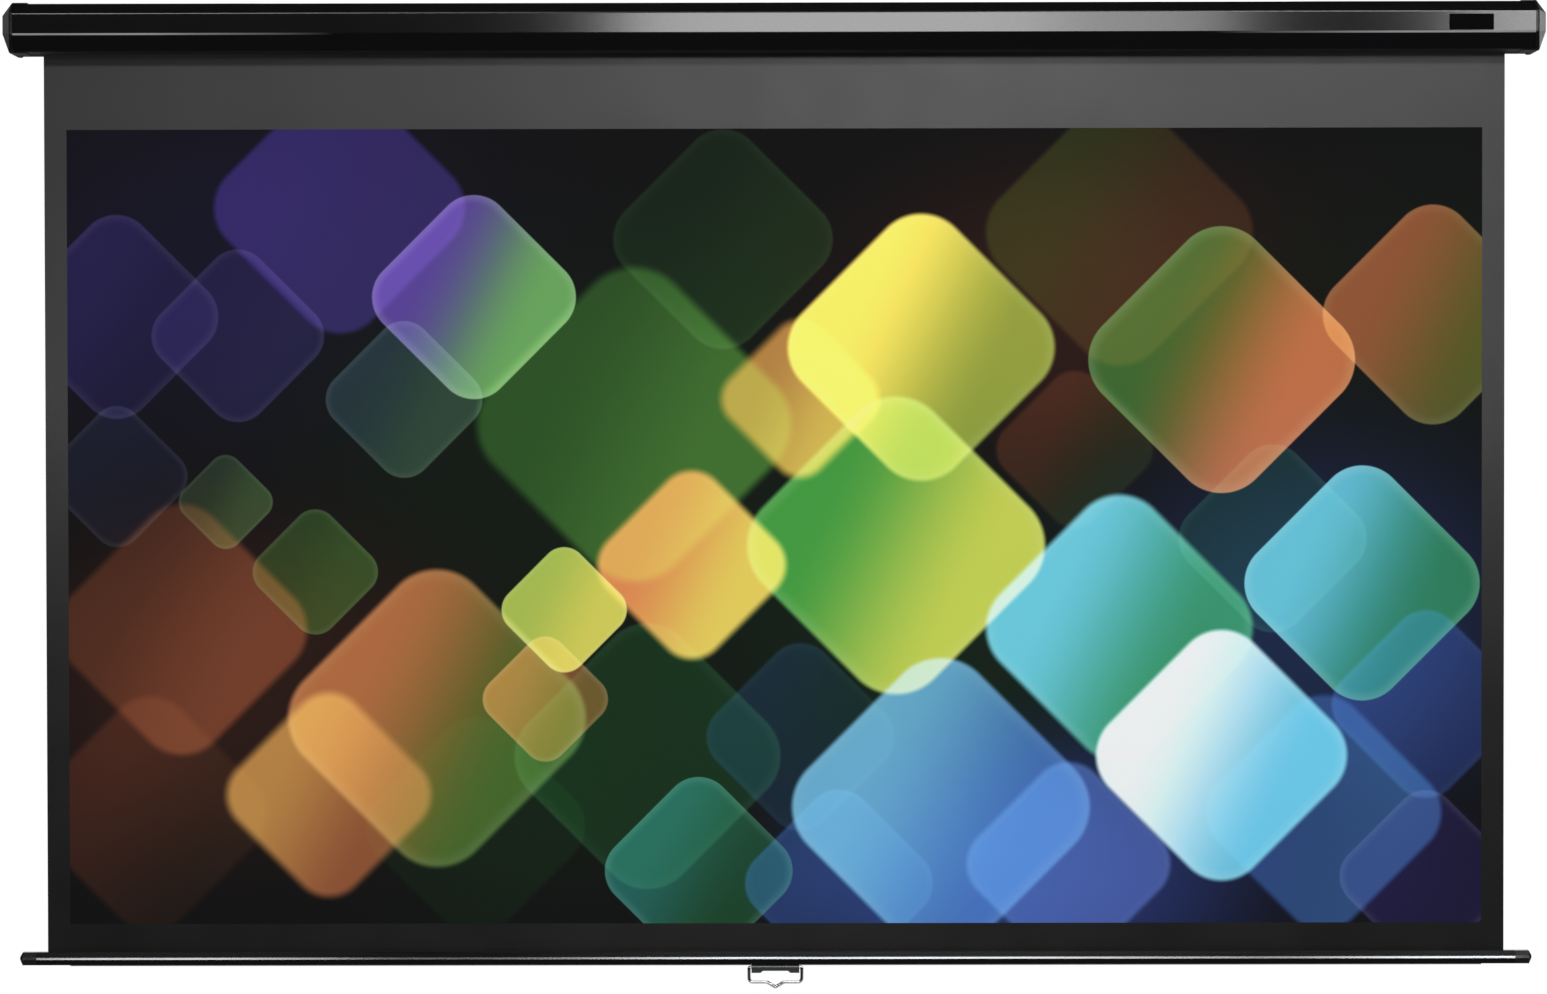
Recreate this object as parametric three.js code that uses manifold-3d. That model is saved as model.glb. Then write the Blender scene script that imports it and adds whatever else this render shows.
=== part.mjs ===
// Pull-down projection screen. A spring roller in a roll-formed steel case pays out a black-masked
// screen fabric. A weight bar with a wire handle keeps the fabric flat, and two gravity pawls lock the roller.
// Millimetres, +Z up, the viewer stands on -Y and the wall is on +Y.
// The origin is the centre of the case's flat back face. The screen is shown pulled down.

import * as THREE from 'three';
import { mergeVertices } from 'three/addons/utils/BufferGeometryUtils.js';
import { ConvexGeometry } from 'three/addons/geometries/ConvexGeometry.js';
import Module from 'manifold-3d';

const wasm = await Module();
wasm.setup();

// Picture and fabric
const pictureWidth = 2214;
const pictureHeight = 1245;
const sideBorder = 35;
const bottomBorder = 44;
const topDrop = 116;
const fabricThickness = 0.5;

// Case section
const caseDepth = 76;
const topChamferDepth = 20;
const topChamferHeight = 17;
const bandHeight = 32;
const lowerChamferDepth = 14;
const lowerChamferHeight = 27;
const shellWall = 1.2;
const shellBendRadius = 3;
const slotRearLip = 8;
const slotWidth = 23;
const slotHem = 5;

// Clearances
const fit = 0.3;
const looseFit = 1;
const overrun = 4;

// Roller
const rollerRadius = 19;
const rollerWall = 1.2;
const rollerOverhang = 8;
const rollerBehindFront = 36;
const rollerRise = 1;
const safetyWraps = 2.5;
const wrapGap = 0.5;
const splineRadius = 2;
const splineNeck = 1.8;
const splineCover = 1.3;
const mechanismSpace = 18;

// End brackets
const bracketThickness = 2;
const bracketRecess = 8;
const bracketLeg = 96;
const bracketTopLeg = 34;
const keyholeHeadRadius = 6;
const keyholeNeckRadius = 3;
const keyholeRise = 15;
const keyholeBase = 2;
const ceilingHoleRadius = 3.5;
const windowMargin = 4;
const rivetRadius = 2;
const rivetHeadRadius = 4;
const rivetHeadHeight = 1.2;
const rivetInset = 14;

// End caps
const capRim = 3;
const capBevel = 17;
const capCornerBevel = 20;
const capLowerBevel = 14;
const capProud = 1.5;
const capWall = 2.5;
const capEdgeRadius = 2.5;
const capLip = 2;
const capLipLength = 18;
const capTongue = 19;
const capWeb = 1.6;
const screwRadius = 1.9;
const screwHeadRadius = 3.6;
const screwHeadHeight = 2.2;
const screwEdge = 7;
const screwBossWall = 2.4;

// Spring motor and lock
const spindleRadius = 4;
const spindleLength = 690;
const spindleFlat = 5;
const spindleTip = 6;
const flangeRadius = 21;
const flangeThickness = 3;
const plugLength = 26;
const spigotLength = 24;
const springCoilRadius = 9;
const springWire = 1;
const springCurls = 26;
const springLength = 420;
const collarLength = 24;
const ratchetRadius = 11;
const ratchetThickness = 5;
const ratchetHubRadius = 7;
const ratchetNotches = 4;
const pawlOrbit = 17;
const pawlReach = 12.5;
const pawlWidth = 3.4;
const pawlHubRadius = 3;
const pawlPinRadius = 1.6;
const pawlPinHead = 2.6;
const pawlPinHeadHeight = 1;
const pawlClearance = 0.35;
const pawlOutAngle = 32;
const pawlLockAngle = 60;
const bushRadius = 7;
const bushFlangeRadius = 10;
const bushFlange = 1.5;
const gudgeonRadius = 4;
const gudgeonEmbed = 20;
const clipRadius = 7;
const clipThickness = 1;

// Weight bar
const barOverhang = 17;
const barHeight = 20;
const barDepth = 16;
const barTopWidth = 9;
const barBottomWidth = 11;
const barRidge = 4;
const barRidgeRise = 0.7;
const barRidgeLean = 1.1;
const hemRodRadius = 2;
const hemChannelDepth = 6;
const hemNeck = 1.8;
const trackWidth = 6;
const trackNeck = 3;
const trackHeight = 2.2;
const trackLip = 1.4;
const stripDrop = 2;
const plugEnd = 26;
const plugTaper = 4;

// Handle
const holderLength = 75;
const holderDrop = 8.5;
const holderFoot = 14;
const holderNotch = 4;
const holderSkirt = 2;
const barrelWall = 1.3;
const bailWidth = 88;
const bailDrop = 26;
const bailPointWidth = 27;
const bailPointDrop = 8;
const bailWire = 2.6;
const bailShoulder = 3.4;
const bailBend = 6.5;
const bailPointBend = 3;
const bailEndGap = 6;
const bailRunning = 0.4;
const bailBelowBar = 5.2;

// Facet counts
const bendSteps = 3;
const roundSides = 36;
const smallSides = 16;
const wrapSteps = 32;
const springSteps = 8;
const springSides = 5;
const holeArcs = 8;
const bailSteps = 100;
const bailArcs = 5;
const weldReach = 0.001;
const sameFacing = 0.999;

// Derived places
const caseHeight = topChamferHeight + bandHeight + lowerChamferHeight;
const caseTop = caseHeight / 2;
const caseBottom = -caseHeight / 2;
const bandTop = caseTop - topChamferHeight;
const bandBottom = bandTop - bandHeight;
const fabricWidth = pictureWidth + sideBorder + sideBorder;
const rollerHalf = fabricWidth / 2 + rollerOverhang;
const plateInner = rollerHalf + mechanismSpace;
const shellHalf = plateInner + bracketThickness + bracketRecess;
const rollerY = rollerBehindFront - caseDepth;
const rollerZ = rollerRise;
const wrapPitch = fabricThickness + wrapGap;
const firstWrapRadius = rollerRadius + fit + fabricThickness / 2;
const payRadius = firstWrapRadius + safetyWraps * wrapPitch;
const fabricY = rollerY + payRadius;
const barTop = caseBottom - topDrop - pictureHeight - bottomBorder;
const barZ = barTop - barHeight / 2;
const barBottom = barTop - barHeight;
const barHalf = fabricWidth / 2 + barOverhang;
const pivotZ = barBottom - bailBelowBar;
const plateU = -bracketRecess - bracketThickness;
const rollerEndU = rollerHalf - shellHalf;

// Finishes of the pieces
const finish = (color, roughness, metalness) => new THREE.MeshStandardMaterial({ color, roughness, metalness });
const blackPowderCoat = finish(0x1b1b1d, 0.42, 0.35);
const blackPlastic = finish(0x141415, 0.5, 0);
const maskedFabric = finish(0x26272a, 0.85, 0);
const zincSteel = finish(0xa7abb0, 0.35, 0.9);
const rollerAluminium = finish(0xb9bcc0, 0.4, 0.85);
const springSteel = finish(0x6f7276, 0.4, 0.8);
const whiteNylon = finish(0xe4e2da, 0.55, 0);
const blackBar = finish(0x0e0e10, 0.3, 0.4);
const greyHolder = finish(0x6d7072, 0.4, 0.6);
const chromeWire = finish(0xd8dade, 0.12, 1);
const greyStrip = finish(0x55585a, 0.6, 0);

const screen = new THREE.Group();

// Helpers for solids

// A closed geometry with shared vertices and nothing but positions.
function welded(geometry) {
  const bare = geometry.clone();
  bare.deleteAttribute('normal');
  bare.deleteAttribute('uv');
  return mergeVertices(bare);
}

function toSolid(geometry) {
  const bare = welded(geometry);
  const vertProperties = new Float32Array(bare.attributes.position.array);
  const triVerts = new Uint32Array(bare.index.array);
  return new wasm.Manifold(new wasm.Mesh({ numProp: 3, vertProperties, triVerts }));
}

function toGeometry(manifold) {
  const mesh = manifold.getMesh();
  const geometry = new THREE.BufferGeometry();
  geometry.setAttribute('position', new THREE.BufferAttribute(new Float32Array(mesh.vertProperties), 3));
  geometry.setIndex(new THREE.BufferAttribute(new Uint32Array(mesh.triVerts), 1));
  geometry.computeVertexNormals();
  return geometry;
}

const joined = (geometries) => geometries.map(toSolid).reduce((sum, one) => sum.add(one));

function built(base, additions, cuts) {
  let result = joined([base, ...additions]);
  for (const cut of cuts) {
    result = result.subtract(toSolid(cut));
  }
  return toGeometry(result);
}

// The same solid seen in a mirror across the plane x = 0, with its faces still pointing out.
function mirrored(geometry) {
  const copy = welded(geometry);
  copy.applyMatrix4(new THREE.Matrix4().makeScale(-1, 1, 1));
  const turned = Array.from(copy.index.array);
  for (let i = 0; i < turned.length; i += 3) {
    [turned[i], turned[i + 1]] = [turned[i + 1], turned[i]];
  }
  copy.setIndex(turned);
  copy.computeVertexNormals();
  return copy;
}

function addPiece(name, geometry, material, place = new THREE.Vector3()) {
  const mesh = new THREE.Mesh(geometry, material.clone());
  mesh.name = name;
  mesh.position.copy(place);
  screen.add(mesh);
}

// A piece of an end assembly, drawn for the right end in distances from the end of the shell.
function addEndPiece(side, name, geometry, material) {
  const sided = side < 0 ? mirrored(geometry) : geometry;
  addPiece(name, sided, material, new THREE.Vector3(side * shellHalf, 0, 0));
}

// Helpers for forms

const axisX = new THREE.Vector3(1, 0, 0);
const axisY = new THREE.Vector3(0, 1, 0);
const axisZ = new THREE.Vector3(0, 0, 1);
const point = (x, y) => new THREE.Vector2(x, y);

function extruded(shape, length) {
  return new THREE.ExtrudeGeometry(shape, { depth: length, bevelEnabled: false, curveSegments: holeArcs });
}

// A sketch in (y, z) run along +X from start to end.
function alongX(shape, start, end) {
  const geometry = extruded(shape, end - start);
  geometry.applyMatrix4(new THREE.Matrix4().makeBasis(axisY, axisZ, axisX));
  return geometry.translate(start, 0, 0);
}

// A sketch in (x, z) run along Y from front to back.
function alongY(shape, front, back) {
  const geometry = extruded(shape, back - front);
  geometry.applyMatrix4(new THREE.Matrix4().makeBasis(axisX, axisZ, axisY.clone().negate()));
  return geometry.translate(0, back, 0);
}

// A sketch in (x, y) run up Z from bottom to top.
function alongZ(shape, bottom, top) {
  return extruded(shape, top - bottom).translate(0, 0, bottom);
}

// A profile of (distance along x, radius) points turned round an axis along X.
function turnedAlongX(profile, y, z, sides = roundSides) {
  const points = profile.map(([along, radius]) => point(radius, along));
  const geometry = new THREE.LatheGeometry(points, sides);
  geometry.applyMatrix4(new THREE.Matrix4().makeBasis(axisY, axisX, axisZ.clone().negate()));
  return outward(geometry.translate(0, y, z));
}

// Turns a closed geometry's faces outwards where its enclosed volume comes out negative.
function outward(geometry) {
  const bare = welded(geometry);
  const position = bare.attributes.position;
  const order = Array.from(bare.index.array);
  const corners = [new THREE.Vector3(), new THREE.Vector3(), new THREE.Vector3()];
  let volume = 0;
  for (let i = 0; i < order.length; i += 3) {
    corners.forEach((corner, k) => corner.fromBufferAttribute(position, order[i + k]));
    volume += corners[0].dot(corners[1].clone().cross(corners[2]));
  }
  if (volume < 0) {
    for (let i = 0; i < order.length; i += 3) {
      [order[i], order[i + 1]] = [order[i + 1], order[i]];
    }
    bare.setIndex(order);
  }
  bare.computeVertexNormals();
  return bare;
}

const rod = (radius, start, end, y, z, sides = smallSides) =>
  turnedAlongX([[start, 0], [start, radius], [end, radius], [end, 0]], y, z, sides);

const sleeve = (outer, inner, start, end, y, z, sides = roundSides) =>
  turnedAlongX([[start, inner], [start, outer], [end, outer], [end, inner], [start, inner]], y, z, sides);

function circlePath(x, y, radius) {
  return new THREE.Path().absarc(x, y, radius, 0, Math.PI + Math.PI, false);
}

function discShape(x, y, radius) {
  return new THREE.Shape().absarc(x, y, radius, 0, Math.PI + Math.PI, false);
}

const rectangle = (left, right, bottom, top) =>
  new THREE.Shape([point(left, bottom), point(right, bottom), point(right, top), point(left, top)]);

// A rectangle with round corners.
function roundedRectangle(left, right, bottom, top, radius) {
  const quarter = Math.PI / 2;
  const shape = new THREE.Shape();
  shape.absarc(right - radius, bottom + radius, radius, -quarter, 0, false);
  shape.absarc(right - radius, top - radius, radius, 0, quarter, false);
  shape.absarc(left + radius, top - radius, radius, quarter, Math.PI, false);
  shape.absarc(left + radius, bottom + radius, radius, Math.PI, Math.PI + quarter, false);
  return shape;
}

// The corners of an outline with each bend replaced by an arc that touches both its sides.
function bent(corners, radius, steps = bendSteps) {
  const path = [corners[0]];
  for (let i = 1; i < corners.length - 1; i += 1) {
    const before = corners[i - 1].clone().sub(corners[i]).normalize();
    const after = corners[i + 1].clone().sub(corners[i]).normalize();
    const half = Math.acos(THREE.MathUtils.clamp(before.dot(after), -1, 1)) / 2;
    const reach = radius / Math.tan(half);
    const centre = before.clone().add(after).normalize();
    centre.multiplyScalar(radius / Math.sin(half)).add(corners[i]);
    const start = corners[i].clone().addScaledVector(before, reach).sub(centre);
    const end = corners[i].clone().addScaledVector(after, reach).sub(centre);
    let sweep = end.angle() - start.angle();
    sweep -= Math.round(sweep / (Math.PI + Math.PI)) * (Math.PI + Math.PI);
    for (let k = 0; k <= steps; k += 1) {
      const spoke = start.clone().rotateAround(new THREE.Vector2(), (sweep * k) / steps);
      path.push(spoke.add(centre));
    }
  }
  path.push(corners[corners.length - 1]);
  return path;
}

// A closed outline with each corner rounded.
function roundedOutline(corners, radius) {
  const seam = corners[0].clone().add(corners[corners.length - 1]).divideScalar(2);
  return new THREE.Shape(bent([seam, ...corners, seam], radius).slice(1));
}

// A strip of constant thickness along an open path, mitred where the path turns.
function stripShape(path, thickness) {
  const left = [];
  const right = [];
  path.forEach((here, i) => {
    const into = i > 0 ? here.clone().sub(path[i - 1]).normalize() : null;
    const out = i < path.length - 1 ? path[i + 1].clone().sub(here).normalize() : null;
    const first = into ?? out;
    const second = out ?? into;
    const normal = point(-first.y - second.y, first.x + second.x).normalize();
    const stretch = thickness / 2 / normal.dot(point(-first.y, first.x));
    left.push(here.clone().addScaledVector(normal, stretch));
    right.push(here.clone().addScaledVector(normal, -stretch));
  });
  return new THREE.Shape([...right, ...left.reverse()]);
}

// A convex outline whose sides move inwards by the given distances, side i running from corner i.
function insetOutline(corners, distances) {
  const centre = corners.reduce((sum, corner) => sum.add(corner), point(0, 0)).divideScalar(corners.length);
  const sides = corners.map((corner, i) => {
    const along = corners[(i + 1) % corners.length].clone().sub(corner).normalize();
    const normal = point(-along.y, along.x);
    if (normal.dot(centre.clone().sub(corner)) < 0) {
      normal.negate();
    }
    return { start: corner.clone().addScaledVector(normal, distances[i]), along, normal };
  });
  return corners.map((corner, i) => {
    const before = sides[(i + corners.length - 1) % corners.length];
    const after = sides[i];
    const reach = after.start.clone().sub(before.start).dot(after.normal) / before.along.dot(after.normal);
    return before.start.clone().addScaledVector(before.along, reach);
  });
}

// The convex hull of balls on the corners of a form: each edge and corner of the form comes out rounded.
function roundedHull(corners, radius) {
  const { position, normal } = new ConvexGeometry(corners).attributes;
  const swollen = [];
  for (const corner of corners) {
    const normals = [];
    for (let i = 0; i < position.count; i += 1) {
      const facing = new THREE.Vector3().fromBufferAttribute(normal, i);
      const here = new THREE.Vector3().fromBufferAttribute(position, i);
      if (here.distanceTo(corner) < weldReach && !normals.some((other) => other.dot(facing) > sameFacing)) {
        normals.push(facing);
      }
    }
    const directions = normals.flatMap((one) => normals.map((other) => one.clone().add(other)));
    directions.push(normals.reduce((sum, one) => sum.add(one), new THREE.Vector3()));
    directions.forEach((way) => swollen.push(way.normalize().multiplyScalar(radius).add(corner)));
  }
  return outward(new ConvexGeometry(swollen));
}

// The least gap that a wound piece leaves to itself, between points at least skip apart along it.
function printLeastGap(label, points, thickness, skip) {
  let least = Infinity;
  for (let i = 0; i < points.length; i += 1) {
    for (let k = i + skip; k < points.length; k += 1) {
      least = Math.min(least, points[i].distanceTo(points[k]));
    }
  }
  console.log(`${label}: least gap to itself ${(least - thickness).toFixed(2)} mm`);
}

// Case

// The closed outline of the case in (y, z), from the back top edge round the front to the back bottom edge.
const caseOutline = [
  point(0, caseTop),
  point(topChamferDepth - caseDepth, caseTop),
  point(-caseDepth, bandTop),
  point(-caseDepth, bandBottom),
  point(lowerChamferDepth - caseDepth, caseBottom),
  point(0, caseBottom),
];
const sideCount = caseOutline.length;
const allSides = (distance) => Array(sideCount).fill(distance);

const keyholeU = plateU - bracketLeg / 2;
const ceilingHoleY = -(shellWall + fit + bracketTopLeg / 2);
const keyholeTop = keyholeBase + keyholeRise;
const rivetPlaces = [plateU - rivetInset, plateU - bracketLeg + rivetInset];

// One steel strip bent round the case, with a folded hem on each side of the fabric slot.
function caseShell() {
  const middle = insetOutline(caseOutline, allSides(shellWall / 2));
  const slotFront = -slotRearLip - slotWidth;
  const hemTop = middle[4].y + slotHem;
  const corners = [
    point(-slotRearLip, hemTop),
    point(-slotRearLip, middle[5].y),
    middle[5],
    middle[0],
    middle[1],
    middle[2],
    middle[3],
    middle[4],
    point(slotFront, middle[4].y),
    point(slotFront, hemTop),
  ];
  const section = stripShape(bent(corners, shellBendRadius), shellWall);
  const body = alongX(section, -shellHalf, shellHalf);
  const cuts = [];
  for (const side of [-1, 1]) {
    const centre = side * (shellHalf + keyholeU);
    const halfWindow = keyholeHeadRadius + windowMargin;
    const window = roundedRectangle(
      centre - halfWindow,
      centre + halfWindow,
      keyholeBase - halfWindow,
      keyholeTop + keyholeNeckRadius + windowMargin,
      windowMargin,
    );
    cuts.push(alongY(window, -shellWall - fit, overrun));
    cuts.push(alongZ(discShape(centre, ceilingHoleY, ceilingHoleRadius + looseFit), caseTop - shellWall - fit,
      caseTop + overrun));
    for (const place of rivetPlaces) {
      const x = side * (shellHalf + place);
      cuts.push(alongY(discShape(x, keyholeTop, rivetRadius + fit), -shellWall - fit, overrun));
    }
  }
  return built(body, [], cuts);
}

// Pressed steel bracket: an end plate that carries the roller, a wall leg and a ceiling leg.
function endBracket(bore) {
  const wallFace = shellWall + fit;
  const frontGap = wallFace + capLip + fit;
  const outline = insetOutline(caseOutline, allSides(frontGap));
  const floor = caseBottom + frontGap + slotHem;
  const plateCorners = [
    point(-wallFace, caseTop - wallFace),
    point(-wallFace - bracketTopLeg, caseTop - wallFace),
    point(-wallFace - bracketTopLeg, outline[1].y),
    outline[1],
    outline[2],
    outline[3],
    point(outline[3].x + lowerChamferDepth * ((outline[3].y - floor) / lowerChamferHeight), floor),
    point(-wallFace, floor),
  ];
  const plate = alongX(new THREE.Shape(plateCorners), plateU, plateU + bracketThickness);
  const legEnd = plateU - bracketLeg;
  const wallLeg = alongY(
    roundedRectangle(legEnd, plateU + bracketThickness, keyholeBase - keyholeHeadRadius - rivetHeadRadius,
      caseTop - wallFace, bracketThickness),
    -wallFace - bracketThickness,
    -wallFace,
  );
  const ceilingLeg = alongZ(
    roundedRectangle(legEnd, plateU + bracketThickness, -wallFace - bracketTopLeg, -wallFace, bracketThickness),
    caseTop - wallFace - bracketThickness,
    caseTop - wallFace,
  );
  const through = [-wallFace - bracketThickness - fit, overrun];
  const neck = rectangle(keyholeU - keyholeNeckRadius, keyholeU + keyholeNeckRadius, keyholeBase, keyholeTop);
  const cuts = [
    alongY(discShape(keyholeU, keyholeBase, keyholeHeadRadius), ...through),
    alongY(neck, ...through),
    alongY(discShape(keyholeU, keyholeTop, keyholeNeckRadius), ...through),
    alongZ(discShape(keyholeU, ceilingHoleY, ceilingHoleRadius), caseTop - wallFace - bracketThickness - fit,
      caseTop),
    bore,
  ];
  for (const place of rivetPlaces) {
    cuts.push(alongY(discShape(place, keyholeTop, rivetRadius + fit), ...through));
  }
  for (const [y, z] of screwPlaces) {
    cuts.push(rod(screwRadius + fit, plateU - fit, plateU + bracketThickness + fit, y, z));
  }
  const bends = roundedOutline(insetOutline(caseOutline, allSides(wallFace)), shellBendRadius);
  const inside = toSolid(alongX(bends, legEnd - overrun, plateU + bracketThickness + overrun));
  const pressed = joined([plate, wallLeg, ceilingLeg]).intersect(inside);
  return built(toGeometry(pressed), [], cuts);
}

// A rivet through the bracket's wall leg, its tail flush in the back of the shell.
function bracketRivet(u) {
  const inner = -shellWall - fit - bracketThickness - fit;
  const tail = [
    point(0, inner - rivetHeadHeight),
    point(rivetHeadRadius, inner - rivetHeadHeight),
    point(rivetHeadRadius, inner),
    point(rivetRadius, inner),
    point(rivetRadius, -fit),
    point(0, -fit),
  ];
  const geometry = new THREE.LatheGeometry(tail, smallSides);
  return outward(geometry.translate(u, 0, keyholeTop));
}

// End caps

const capEnd = capRim + capBevel;
const screwPlaces = [
  [-capWall - screwRadius - screwBossWall - screwEdge, bandBottom + screwEdge],
  [capCornerBevel - caseDepth + screwEdge + screwRadius, bandTop - screwEdge],
];

// The corners of the cap's outer form, or of a form that lies deeper by wall: from the full section
// at the shell to the band's height at the end, so that every face of the case is bevelled.
function capCorners(wall, start) {
  const outset = wall - capProud;
  const insets = allSides(outset);
  insets[sideCount - 1] = wall;
  const section = insetOutline(caseOutline, insets);
  const lowerRim = capRim + capBevel - capLowerBevel;
  const rims = [capRim, capRim, capRim, capRim, lowerRim, lowerRim];
  const points = section.map((corner) => new THREE.Vector3(start, corner.x, corner.y));
  section.forEach((corner, i) => points.push(new THREE.Vector3(rims[i], corner.x, corner.y)));
  const end = capEnd - wall;
  const endFront = capCornerBevel - caseDepth + wall;
  for (const z of [bandTop - wall, bandBottom + wall]) {
    points.push(new THREE.Vector3(end, section[0].x, z));
    points.push(new THREE.Vector3(end, endFront, z));
  }
  return points;
}

// The cap's outer form with rounded edges, cut square where it meets the shell.
function capForm() {
  const swollen = toSolid(roundedHull(capCorners(capEdgeRadius, -overrun), capEdgeRadius));
  const square = rectangle(-caseDepth - overrun, overrun, caseBottom - overrun, caseTop + overrun);
  return swollen.intersect(toSolid(alongX(square, fit, capEnd + overrun)));
}

// Moulded cap: bevelled hollow body, a lip that locates inside the shell, tongues over and under it,
// and two screw bosses that reach the bracket.
function endCap() {
  const envelope = capForm();
  const body = envelope.subtract(toSolid(outward(new ConvexGeometry(capCorners(capWall, -fit)))));
  const lipInset = shellWall + fit + capLip / 2;
  const lipLine = insetOutline(caseOutline, allSides(lipInset));
  const lipStart = -shellWall - fit - bracketTopLeg - fit - capLip;
  const slotFront = -slotRearLip - slotWidth;
  const lipCorners = [
    point(lipStart, lipLine[0].y),
    lipLine[1],
    lipLine[2],
    lipLine[3],
    lipLine[4],
    point(slotFront - shellWall - capLip, lipLine[4].y),
  ];
  const lip = alongX(stripShape(bent(lipCorners, capLip), capLip), -capLipLength, capRim);
  const tongueTop = alongX(
    rectangle(topChamferDepth - caseDepth, -bracketTopLeg / 2, caseTop + fit, caseTop + capProud),
    -capTongue,
    capRim,
  );
  const tongueBottom = alongX(
    rectangle(lowerChamferDepth - caseDepth, slotFront, caseBottom - capProud, caseBottom - fit),
    -capTongue,
    capRim,
  );
  const bossRadius = screwRadius + fit + screwBossWall;
  const bossStart = plateU + bracketThickness + fit;
  let cap = body.add(toSolid(lip)).add(toSolid(tongueTop)).add(toSolid(tongueBottom));
  for (const [y, z] of screwPlaces) {
    cap = cap.add(toSolid(rod(bossRadius, bossStart, capEnd - capWall / 2, y, z)));
  }
  const webs = [
    alongX(rectangle(screwPlaces[0][0], -capWall / 2, screwPlaces[0][1] - capWeb / 2,
      screwPlaces[0][1] + capWeb / 2), fit + capWall, capEnd - capWall / 2),
    alongX(rectangle(screwPlaces[1][0] - capWeb / 2, screwPlaces[1][0] + capWeb / 2, screwPlaces[1][1],
      caseTop), fit + capWall, capEnd - capWall / 2),
  ];
  for (const web of webs) {
    cap = cap.add(toSolid(web).intersect(envelope));
  }
  for (const [y, z] of screwPlaces) {
    cap = cap.subtract(toSolid(rod(screwRadius + fit, bossStart - overrun, capEnd + overrun, y, z)));
    const seat = capEnd - screwHeadHeight - fit - fit;
    cap = cap.subtract(toSolid(rod(screwHeadRadius + fit, seat, capEnd + overrun, y, z)));
  }
  return toGeometry(cap);
}

// A pan-head screw from the cap's end face into the bracket.
function capScrew([y, z]) {
  const head = capEnd - fit;
  const neck = head - screwHeadHeight;
  const profile = [
    [plateU - fit, 0],
    [plateU - fit, screwRadius],
    [neck, screwRadius],
    [neck, screwHeadRadius],
    [head - fit, screwHeadRadius],
    [head, screwHeadRadius - fit],
    [head, 0],
  ];
  return turnedAlongX(profile, y, z, smallSides);
}

// Roller

const pocketDepth = splineCover + splineRadius + fit;
const pocketCentre = rollerRadius - pocketDepth;

// An aluminium tube with a keyhole groove that holds the fabric's edge.
function rollerTube() {
  const ring = sleeve(rollerRadius, rollerRadius - rollerWall, -rollerHalf, rollerHalf, 0, 0);
  const keeper = rod(splineRadius + fit + rollerWall, -rollerHalf, rollerHalf, -pocketCentre, 0);
  const bore = toSolid(rod(rollerRadius - rollerWall / 2, -rollerHalf, rollerHalf, 0, 0, roundSides));
  const pocket = rod(splineRadius + fit, -rollerHalf - overrun, rollerHalf + overrun, -pocketCentre, 0);
  const neck = alongX(rectangle(-rollerRadius - overrun, -pocketCentre, -splineNeck / 2, splineNeck / 2),
    -rollerHalf - overrun, rollerHalf + overrun);
  const rail = toSolid(keeper).intersect(bore);
  return toGeometry(toSolid(ring).add(rail).subtract(toSolid(pocket)).subtract(toSolid(neck)));
}

// The turns of fabric that stay on the roller: one sheet that enters the groove, winds round the tube
// and ends where it leaves the back of the roll.
function fabricRoll() {
  const steps = Math.round(safetyWraps * wrapSteps);
  const total = safetyWraps * (Math.PI + Math.PI);
  const spiral = [];
  for (let i = 0; i <= steps; i += 1) {
    const share = i / steps;
    const angle = total * share;
    const radius = payRadius - safetyWraps * wrapPitch * share;
    spiral.push(point(radius * Math.cos(angle), radius * Math.sin(angle)));
  }
  printLeastGap('fabric on the roller', spiral, fabricThickness, Math.round(wrapSteps / 2));
  const tailEnd = point(-rollerRadius + splineCover, 0);
  const path = [...spiral, tailEnd];
  return alongX(stripShape(path, fabricThickness), -fabricWidth / 2, fabricWidth / 2);
}

// The screen fabric from the roll to the weight bar, its lower edge welded into a loop round the hem rod.
function fabricSheet() {
  const halfThick = fabricThickness / 2;
  const loop = hemRodRadius + fit + fabricThickness;
  const meet = Math.asin(halfThick / loop);
  const centre = barTop - hemChannelDepth;
  const quarter = Math.PI / 2;
  const shape = new THREE.Shape();
  shape.moveTo(halfThick, rollerZ - fit);
  shape.lineTo(-halfThick, rollerZ - fit);
  shape.absarc(0, centre, loop, quarter + meet, quarter - meet + Math.PI + Math.PI, false);
  shape.holes.push(circlePath(0, centre, hemRodRadius + fit));
  return alongX(shape, -fabricWidth / 2, fabricWidth / 2).translate(0, fabricY, 0);
}

// Spring motor and lock, drawn in distances from the shell's end

const carrierOuter = rollerEndU + fit + flangeThickness;
const pawlStart = carrierOuter + looseFit + fit;
const pawlEnd = pawlStart + ratchetThickness;
const springStart = rollerEndU - plugLength - spigotLength;
const springEnd = springStart - springLength;

function plugProfile(bore, spigotRadius) {
  const inner = rollerEndU - plugLength;
  const hub = rollerRadius - rollerWall - fit;
  const profile = [[carrierOuter, bore], [carrierOuter, flangeRadius], [rollerEndU + fit, flangeRadius],
    [rollerEndU + fit, hub], [inner, hub]];
  if (spigotRadius > 0) {
    profile.push([inner, spigotRadius], [springStart, spigotRadius], [springStart, bore]);
  } else {
    profile.push([inner, bore]);
  }
  profile.push([carrierOuter, bore]);
  return profile;
}

// A channel along a roller plug that leaves room for the roller's inner rail.
function railChannel() {
  const radius = splineRadius + fit + rollerWall + fit;
  return rod(radius, rollerEndU - plugLength - overrun, rollerEndU + fit, rollerY - pocketCentre, rollerZ);
}

function springSpigotRadius() {
  return springCoilRadius * Math.cos(Math.PI / springSteps) - springWire - fit;
}

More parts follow.
